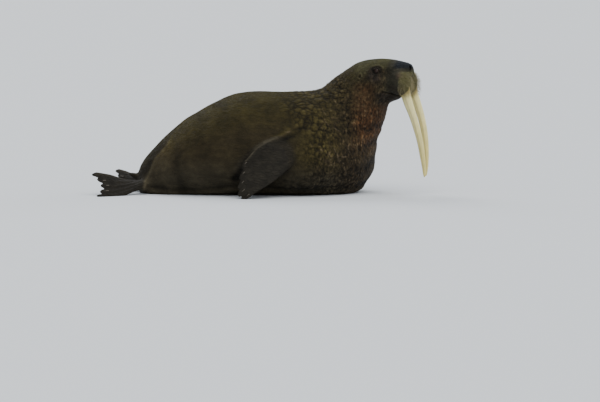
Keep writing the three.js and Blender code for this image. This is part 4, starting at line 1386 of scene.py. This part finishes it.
def root_share(p):
    """1 where a flipper's blade leaves its root, fading to 0 before its tips and on the body."""
    share = np.zeros(len(p))
    for shape in FLIPPERS.values():
        q = on_own_side(shape, p)
        for t in np.linspace(0.2, 0.62, 8):
            centre = bezier(shape["bend"], t)
            width = list_value(shape["half_width"], np.array([t]))[0] * 1.15
            away = np.linalg.norm(q - centre, axis=1)
            strength = 1 - smooth_step(0.42, 0.62, t)
            share = np.maximum(share, strength * (1 - smooth_step(width, width * 1.3, away)))
    return share


def foot_relief(p, feet):
    """Fine wrinkles over the knuckles and webs of the bare flippers."""
    cracks = plates(p + 9 * noise_vector(p, 40, 91), 30, 92)
    return feet * (1.1 * smooth_step(0, 0.4, cracks) - 0.8 + 1.0 * noise(p, 60, 93))


def make_skin():
    """The skin as one piece with its relief and markings, and its points and the way they face."""
    body_points, body_quads = make_body()
    skin = make_mesh("walrus_skin", body_points, [body_quads], SKIN)
    blades = []
    for name, shape in FLIPPERS.items():
        blade_points, blade_quads = make_blade(shape)
        blades.append(make_mesh(name + "_blade", blade_points, [blade_quads], SKIN))
    joined(skin, blades)
    skin.data.polygons.foreach_set("use_smooth", np.ones(len(skin.data.polygons), bool))

    points = mesh_points(skin)
    edges = read(skin.data.edges, "vertices", 2, np.int32)
    points = smoothed(points, edges, 0.5 * root_share(points), 14)
    set_points(skin, points)
    facing = mesh_normals(skin)
    out, dark, relief_light_and_shade = skin_relief(points)
    feet = near_flippers(points)
    off_floor = smooth_step(2.5, 14, points[:, 2])
    out = out * (1 - feet) + foot_relief(points, feet) + whisker_mounds(points)
    out = np.clip(out, *RELIEF_LIMITS) * off_floor
    relief_light_and_shade = relief_light_and_shade * off_floor * (1 - feet)
    points = points + facing * out[:, None]
    points[:, 2] = np.maximum(points[:, 2], FLOOR_GAP)
    set_points(skin, points)
    facing = mesh_normals(skin)
    # The tone carries painted shade in creases and painted light and shade by relief.
    paint(skin, "tone", colours(points, facing, dark * (1 - 0.5 * feet), relief_light_and_shade))
    paint(skin, "furry", 1 - feet)
    paint(skin, "rough", rough_share(points, facing))
    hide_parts("rump", "torso", "neck", "head", "muzzle", "lower_jaw", "tail", *FLIPPERS)
    return skin, points, facing


# Whiskers in rows on both pads
# Their roots are found in rays from inside each pad, spread sideways and upwards by these degrees.
WHISKERS = {"centre": (352, 66, -16), "rows": 16, "in_row": 25, "sideways": (-42, 76), "upwards": (-52, 48),
            "length": (18, 66), "radius": 1.05, "sunk": 6}
MOUND_HEIGHT, MOUND_RADIUS = 1.7, 3.6


def whisker_roots():
    """Where each whisker leaves the skin, which way the skin faces there, and the whisker's length."""
    draw = np.random.default_rng(17)
    roots, facings, lengths = [], [], []
    for side in SIDES.values():
        directions, reach = [], []
        for row in range(WHISKERS["rows"]):
            up_share = row / (WHISKERS["rows"] - 1)
            for place in range(WHISKERS["in_row"]):
                side_share = (place + 0.5 * (row % 2)) / WHISKERS["in_row"]
                wander = draw.normal(0, 1.3, 2)
                from_middle = math.hypot((side_share - 0.5) / 0.54, (up_share - 0.44) / 0.6)
                if from_middle > 1:
                    continue
                across = math.radians(np.interp(side_share, (0, 1), WHISKERS["sideways"]) + wander[0])
                upwards = math.radians(np.interp(up_share, (0, 1), WHISKERS["upwards"]) + wander[1])
                directions.append([math.cos(upwards) * math.cos(across),
                                   math.cos(upwards) * math.sin(across) * side, math.sin(upwards)])
                low, high = WHISKERS["length"]
                grown = (1 - 0.75 * up_share) * (0.45 + 0.55 * side_share)
                shorter = 1 - 0.45 * from_middle ** 4
                reach.append((low + (high - low) * grown) * shorter * draw.uniform(0.75, 1.2))
        points, normals = on_skin(np.multiply(WHISKERS["centre"], (1, side, 1)), directions)
        roots.append(points)
        facings.append(normals)
        lengths.append(reach)
    return np.concatenate(roots), np.concatenate(facings), np.concatenate(lengths)


WHISKER_ROOTS, WHISKER_FACINGS, WHISKER_LENGTHS = whisker_roots()


def whisker_mounds(p):
    """Each whisker grows out of a small mound."""
    out = np.zeros(len(p))
    q = to_head(p)
    near = np.nonzero((q[:, 0] > 250) & (np.abs(q[:, 2] + 10) < 150) & (np.abs(q[:, 1]) < 230))[0]
    for part in np.array_split(near, 1 + len(near) // 4000):
        away = np.linalg.norm(q[part][:, None, :] - WHISKER_ROOTS[None], axis=2).min(1)
        out[part] = MOUND_HEIGHT * bump(away - 1.5, MOUND_RADIUS) - 0.8 * bump(away - 7.5, 2.2)
    return out


def ring_quads(number):
    """Quads round closed rings of point numbers, from each ring to the next."""
    return grid_quads(np.concatenate([number, number[:, :1]], 1))


TUBE_KEYS = ("root", "direction", "bend", "length", "radius")


def tube_faces(rings, around, count):
    """Faces of many like tubes, each rings of points and one more at its tip."""
    number = np.arange(rings * around).reshape(rings, around)
    tips = np.stack([number[-1], np.roll(number[-1], -1), np.full(around, number.size)], 1)
    bases = np.stack([np.zeros(around - 2, int), number[0, 2:], number[0, 1:-1]], 1)
    shift = (np.arange(count) * (number.size + 1))[:, None, None]
    return [(part + shift).reshape(-1, part.shape[1])
            for part in (ring_quads(number), np.concatenate([tips, bases]))]


def make_tubes(name, tubes, material, rings=7, around=5, taper=0.65, flatness=1.0):
    """Many tapered, bent tubes as one piece. Each has a root, direction, bend, length and radius."""
    roots, directions, bends, lengths, radii = (np.array(tubes[key]) for key in TUBE_KEYS)
    lengths = lengths[:, None]
    first = unit(np.cross(directions, (0.31, 0.22, 0.93)))
    points = []
    for s in np.arange(rings) / rings:
        centre = roots + directions * lengths * s + bends * lengths * s * s
        tangent = unit(directions + 2 * s * bends)
        side = unit(across_to(tangent, first))
        other = np.cross(tangent, side)
        radius = (radii * ((1 - s) ** taper * 0.9 + 0.1))[:, None]
        for angle in 2 * math.pi * np.arange(around) / around:
            spoke = side * math.cos(angle) + other * flatness * math.sin(angle)
            points.append(centre + spoke * radius)
    points.append(roots + (directions + bends) * lengths)
    points = np.stack(points, 1).reshape(-1, 3)
    make_mesh(name, points, tube_faces(rings, around, len(roots)), material)


def make_whiskers():
    draw = np.random.default_rng(23)
    outward = np.sign(WHISKER_ROOTS[:, 1:2])
    lean = (0.30, 0, -0.34) + outward * (0, 0.16, 0)
    directions = unit(WHISKER_FACINGS + lean + draw.normal(0, 0.10, WHISKER_FACINGS.shape))
    bends = (-0.03, 0, -0.16) - outward * (0, 0.10, 0)
    bends = bends + draw.normal(0, 0.05, bends.shape)
    make_tubes("bristles", {
        "root": from_head(WHISKER_ROOTS - directions * WHISKERS["sunk"]),
        "direction": direction_from_head(directions),
        "bend": direction_from_head(bends),
        "length": WHISKER_LENGTHS + WHISKERS["sunk"],
        "radius": WHISKERS["radius"] * draw.uniform(0.8, 1.15, len(outward)),
    }, BRISTLE)


# Eyes, tusks and claws
EYE_RINGS, EYE_AROUND = 40, 64
CORNEA = {"bulge": 0.05, "half_angle": 0.5}
TUSK_RINGS, TUSK_AROUND = 110, 72
TUSK_GUM = np.array([0.38, 0.26, 0.05])
TUSK_UPPER = np.array([0.96, 0.86, 0.40])
TUSK_LOWER = np.array([0.84, 0.71, 0.25])
TUSK_LINE = np.array([0.34, 0.25, 0.08])


def closed_rings(rings, first, last):
    """Points and faces of a closed skin over rings of points, with one more point at each end."""
    number = np.arange(rings.shape[0] * rings.shape[1]).reshape(rings.shape[:2])
    quads = ring_quads(number)
    caps = []
    for ring, pole in ((number[0, ::-1], number.size), (number[-1], number.size + 1)):
        caps.append(np.stack([np.full(len(ring), pole), ring, np.roll(ring, -1)], 1))
    points = np.concatenate([rings.reshape(-1, 3), [first, last]])
    caps = np.concatenate(caps)
    if signed_volume(points - points.mean(0), quads) < 0:
        quads, caps = quads[:, ::-1], caps[:, ::-1]
    return points, [quads, caps]


def make_eye(side):
    """An eyeball whose front bulges, painted with the angle from the pupil."""
    eye = EYES[side]
    forward, up, facing = (direction_from_head(eye[way])[0] for way in ("forward", "up", "facing"))
    centre = from_head(eye["centre"])[0]
    angles = np.linspace(0, np.pi, EYE_RINGS + 1)
    radii = EYE["radius"] * (1 + CORNEA["bulge"] * bump(angles, CORNEA["half_angle"])) - 0.2
    phi = np.linspace(0, 2 * np.pi, EYE_AROUND, endpoint=False)[:, None]
    spokes = np.cos(phi) * forward + np.sin(phi) * up
    rings = [centre + radius * (math.cos(angle) * facing + math.sin(angle) * spokes)
             for angle, radius in zip(angles[1:-1], radii[1:-1])]
    front, back = centre + facing * radii[0], centre - facing * EYE["radius"]
    points, faces = closed_rings(np.array(rings), front, back)
    piece = make_mesh("eyeball_" + side, points, faces, EYEBALL)
    from_pupil = np.concatenate([angles[1:-1].repeat(EYE_AROUND), angles[[0, -1]]])
    paint(piece, "from_pupil", from_pupil / (np.pi / 2))
    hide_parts("eye_" + side)


def angle_from(angles, middle):
    """How far angles lie from one of them, the shorter way round."""
    return np.angle(np.exp(1j * (angles - middle)))


def make_tusk(side):
    """A tusk with long flutes and two grooves, stained at the gum, along its flutes and at its tip, with
    painted shade in its grooves.
    """
    t = np.linspace(0, 1, TUSK_RINGS) ** 0.94 * TUSK_REACH[side]
    rows = tusk_rows(side, t)
    ahead, behind = (tusk_rows(side, np.clip(t + step, 0, 1))[:, :3] for step in (0.004, -0.004))
    along = unit(ahead - behind)
    across = unit(across_to(along, np.array([0, 1.0, 0])))
    front = np.cross(across, along)
    phi = np.linspace(0, 2 * np.pi, TUSK_AROUND, endpoint=False)
    tt, pp = np.meshgrid(t, phi, indexing="ij")
    flat = np.stack([tt.ravel() * 900, np.cos(pp).ravel() * 60, np.sin(pp).ravel() * 60], 1)
    flutes = (0.55 * noise(flat * (0.02, 1, 1), 13, 101) + 0.35 * noise(flat * (0.06, 1, 1), 6, 102)
              + 0.25 * noise(flat * (0.3, 0.6, 0.6), 22, 103)).reshape(tt.shape)
    groove = bump(angle_from(pp, 1.75), 0.17) + 0.7 * bump(angle_from(pp, -1.5), 0.2)
    groove *= smooth_step(0.0, 0.12, tt) * smooth_step(0.97, 0.7, tt)
    depth = 0.985 + 0.022 * flutes - 0.05 * groove
    centres = rows[:, None, :3]
    rings = (centres + front[:, None, :] * (rows[:, 3, None] * depth * np.cos(pp))[..., None]
             + across[:, None, :] * (rows[:, 4, None] * depth * np.sin(pp))[..., None])
    shape = from_head(rings.reshape(-1, 3)).reshape(rings.shape)
    root, tip = from_head([rows[0, :3], rows[-1, :3] + along[-1] * 3.0])
    points, faces = closed_rings(shape, root, tip)
    piece = make_mesh("ivory_" + side, points, faces, IVORY)

    share, flutes, groove = tt.ravel(), flutes.ravel(), np.clip(groove.ravel(), 0, 1)
    lines = smooth_step(0.1, 0.9, noise(flat * (0.012, 1, 1), 9, 104))
    tone = mixed(TUSK_UPPER, TUSK_LOWER, smooth_step(0.25, 0.8, share))
    tone = mixed(tone, TUSK_GUM, 0.85 * (1 - smooth_step(0.07, 0.2, share + 0.03 * flutes)))
    # Stains along the flutes, and painted shade in the grooves.
    tone = mixed(tone, TUSK_LINE, 0.30 * lines + 0.55 * groove)
    tone = mixed(tone, TUSK_LINE, 0.6 * smooth_step(0.955, 1.0, share))
    paint(piece, "tone", np.concatenate([tone, tone[:1], tone[-1:]]))
    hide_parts("tusk_" + side)


def make_claws(name):
    """A small claw on the upper face of some digits, a little short of their tips."""
    shape = FLIPPERS[name]
    tubes = {key: [] for key in TUBE_KEYS}
    for digit in shape["claws"]:
        v = (2 * digit + 1) / DIGITS - 1
        place = shape["claw_back"]
        back, ahead, below = (flipper_point(shape, np.array([u]), np.array([v]), face)[0]
                              for u, face in ((place - 0.03, 1.0), (place + 0.03, 1.0), (place, -1.0)))
        middle = (back + ahead) / 2
        outward = unit(middle - below)
        along = unit(ahead - back)
        tubes["root"].append(middle - along * 8 - outward * 1.5)
        tubes["direction"].append(unit(along + 0.12 * outward))
        tubes["bend"].append(-0.30 * outward)
        tubes["length"].append(shape["claw_length"] * 1.25 + 8)
        tubes["radius"].append(shape["claw_radius"] * 1.5)
    make_tubes("claws_" + name, tubes, CLAW, rings=8, around=12, taper=0.5, flatness=0.62)


# Short flat fur, as closed spikes of four faces over the skin
TUFTS = {"count": 180000, "per_piece": 48000, "length": (7.5, 12.5), "width": (1.4, 2.4), "lift": (7, 22),
         "sunk": 0.7}
AXIS_LINE = np.concatenate([
    np.array([[-1050, 0, 120], [-600, 0, 240], [-200, 0, 330], [150, 0, 360]], float),
    bezier(NECK_POINTS, np.linspace(0, 1, 9)),
    from_head([[150, 0, 20], [420, 0, 40]]),
])
# A tuft's corners are left and right at its base, the crown and the tip, on a small patch of the map.
TUFT_SHADES = (0.8, 0.8, 0.95, 1.15)
TUFT_FACES = np.array([[0, 1, 2], [0, 2, 3], [2, 1, 3], [1, 0, 3]])
TUFT_PATCH = np.array([[-0.0015, -0.0015], [0.0015, -0.0015], [0, 0], [0, 0.0015]])
MAP_MARGIN = 0.02


def unwrapped(p):
    """Places on a flat map of the skin: round the body's bent axis, and along it."""
    lengths = np.linalg.norm(np.diff(AXIS_LINE, axis=0), axis=1)
    starts = np.concatenate([[0], np.cumsum(lengths)])
    best = np.full(len(p), np.inf)
    along, around = np.zeros(len(p)), np.zeros(len(p))
    for start, end, length, passed in zip(AXIS_LINE[:-1], AXIS_LINE[1:], lengths, starts):
        line = (end - start) / length
        side = unit(across_to(line, np.array([0.0, 1.0, 0.0])))
        up = np.cross(line, side)
        t = np.clip((p - start) @ line, 0, length)
        away = p - start - t[:, None] * line
        distance = np.linalg.norm(away, axis=1)
        closer = distance < best
        best = np.where(closer, distance, best)
        along = np.where(closer, passed + t, along)
        around = np.where(closer, np.arctan2(away @ side, away @ up), around)
    shares = np.stack([around / (2 * np.pi) + 0.5, along / starts[-1]], 1)
    return MAP_MARGIN + (1 - 2 * MAP_MARGIN) * shares


def coat_lie(p):
    """The way the fur points: backwards along the body and neck, and back over the head."""
    first, second = np.diff(NECK_POINTS, axis=0)
    neck_way = -unit(mixed(first, second, along_neck(p)))
    way = mixed(np.array([-1.0, 0, -0.32]), neck_way, smooth_step(250, 650, p[:, 0]))
    return mixed(way, direction_from_head((-1.0, 0, -0.25)), head_share(p))


def tuft_density(p, facing):
    """Thinner fur on the throat and pads, and none on the flippers, round the eyes and on the underside."""
    q = to_head(p)
    on_head = head_share(p)
    keep = (1 - near_flippers(p)) * (1 - 0.9 * smooth_step(250, 310, q[:, 0]) * on_head)
    keep *= 1 - 0.55 * smooth_step(760, 900, p[:, 0]) * (1 - on_head)
    for eye in EYES.values():
        keep *= smooth_step(26, 40, np.linalg.norm(q - eye["centre"], axis=1))
    return keep * smooth_step(10, 24, p[:, 2]) * (facing[:, 2] > -0.85)


def tuft_roots(skin, points, facing, draw):
    """Places strewn over the skin, with the way the skin faces there and its colour."""
    skin.data.calc_loop_triangles()
    corners = read(skin.data.loop_triangles, "vertices", 3, np.int32)
    a, b, c = (points[corners[:, k]] for k in range(3))
    normal = np.cross(b - a, c - a)
    middle = (a + b + c) / 3
    area = np.linalg.norm(normal, axis=1) / 2
    weight = area * tuft_density(middle, unit(normal)) * (1 + 2.0 * head_share(middle))
    chosen = corners[draw.choice(len(corners), TUFTS["count"], p=weight / weight.sum())]
    r1, r2 = np.sqrt(draw.random(len(chosen))), draw.random(len(chosen))
    shares = np.stack([1 - r1, r1 * (1 - r2), r1 * r2], 1)
    # The skin's tone, with its painted light and shade, colours the tufts too.
    tones = read(skin.data.color_attributes["tone"].data, "color", 4)[:, :3].astype(float)
    roots, out, tone = (
        np.einsum("nk,nkd->nd", shares, values[chosen]) for values in (points, facing, tones))
    return roots, unit(out), tone


def make_fur(skin, points, facing):
    """Tufts in a few pieces, each a closed spike that lies back along the coat."""
    draw = np.random.default_rng(41)
    roots, out, tone = tuft_roots(skin, points, facing, draw)
    way = coat_lie(roots) + 0.22 * noise_vector(roots, 90, 111)
    way += draw.normal(0, 0.16, way.shape)
    way = unit(across_to(out, way))
    side = np.cross(way, out)
    size = 1 - 0.5 * head_share(roots)[:, None]
    length, width, lift = (draw.uniform(*TUFTS[key], (len(roots), 1)) for key in ("length", "width", "lift"))
    length, width, lift = length * size, width * (0.6 + 0.4 * size), np.radians(lift)
    tip = roots + way * length * np.cos(lift) + out * length * np.sin(lift)
    tip[:, 2] = np.maximum(tip[:, 2], FLOOR_GAP)
    base = roots - out * TUFTS["sunk"]
    crown = roots + out * 0.35 * width + way * 0.18 * length
    spikes = np.stack([base + side * width / 2, base - side * width / 2, crown, tip], 1)
    light = draw.uniform(0.85, 1.2, (len(roots), 1))
    tones = np.stack([tone * light * shade for shade in TUFT_SHADES], 1)
    place = unwrapped(roots)
    order = np.argsort(place[:, 1])
    for number, part in enumerate(np.array_split(order, math.ceil(len(order) / TUFTS["per_piece"]))):
        triangles = (TUFT_FACES + 4 * np.arange(len(part))[:, None, None]).reshape(-1, 3)
        corners = spikes[part].reshape(-1, 3)
        piece = make_mesh(f"fur_{number + 1}", corners, [triangles], FUR, smooth=False)
        paint(piece, "tone", tones[part].reshape(-1, 3))
        spots = (place[part][:, None, :] + TUFT_PATCH).reshape(-1, 2)
        uv = piece.data.uv_layers.new(name="OFBake")
        uv.data.foreach_set("uv", spots[triangles.ravel()].astype(np.float32).ravel())


# Floor, light and camera
PHOTO = {"middle_x": 323, "middle_z": -77, "elevation": 5, "distance": 25, "width": 5.1}
SENSOR_WIDTH = 36
FLOOR_HALF = 400
SKY = {"colour": (0.80, 0.86, 0.93, 1), "strength": 0.5}
LIGHTS = [
    # name, direction it comes from, width across the sky in degrees, power, colour
    ("overhead", (0.8, -1.2, 2.7), 70, 2.6, (1, 0.985, 0.96)),
    ("back_edge", (-1, 1.8, 1.7), 35, 1.3, (0.97, 0.98, 1)),
    ("front_edge", (2.6, 1.5, 0.9), 30, 0.6, (0.97, 0.98, 1)),
]


def make_floor():
    ground = Surface("pale_floor", Base_Color=(0.74, 0.77, 0.80, 1), Roughness=0.8, Specular_IOR_Level=0.15)
    mesh = bpy.data.meshes.new("floor")
    corners = [(x * FLOOR_HALF, y * FLOOR_HALF, 0) for x, y in ((-1, -1), (1, -1), (1, 1), (-1, 1))]
    mesh.from_pydata(corners, [], [(0, 1, 2, 3)])
    mesh.materials.append(ground.material)
    add_to_scene("floor", mesh)


def add_lights():
    for name, place, width, power, colour in LIGHTS:
        light = bpy.data.lights.new(name, "SUN")
        light.angle = math.radians(width)
        light.energy = power
        light.color = colour
        add_to_scene(name, light).rotation_euler = (-Vector(place)).to_track_quat("-Z", "Y").to_euler()
    world = bpy.data.worlds.new("sky")
    world.use_nodes = True
    background = world.node_tree.nodes["Background"]
    background.inputs["Color"].default_value = SKY["colour"]
    background.inputs["Strength"].default_value = SKY["strength"]
    bpy.context.scene.world = world


def add_camera():
    """The camera looks at the photo's middle from the animal's right, a little from above."""
    lens = bpy.data.cameras.new("camera")
    lens.sensor_width = SENSOR_WIDTH
    lens.lens = SENSOR_WIDTH * PHOTO["distance"] / PHOTO["width"]
    lens.clip_end = 2000
    camera = add_to_scene("camera", lens)
    target = Vector(to_frame([PHOTO["middle_x"], 0, PHOTO["middle_z"]]))
    tilt = math.radians(PHOTO["elevation"])
    camera.location = target + PHOTO["distance"] * Vector((0, -math.cos(tilt), math.sin(tilt)))
    camera.rotation_euler = (math.pi / 2 - tilt, 0, 0)
    bpy.context.scene.camera = camera


add_camera()
make_floor()
add_lights()
skin_piece, skin_points, skin_facing = make_skin()
make_whiskers()
for side_name in SIDES:
    make_eye(side_name)
    make_tusk(side_name)
for flipper_name in FLIPPERS:
    make_claws(flipper_name)
make_fur(skin_piece, skin_points, skin_facing)
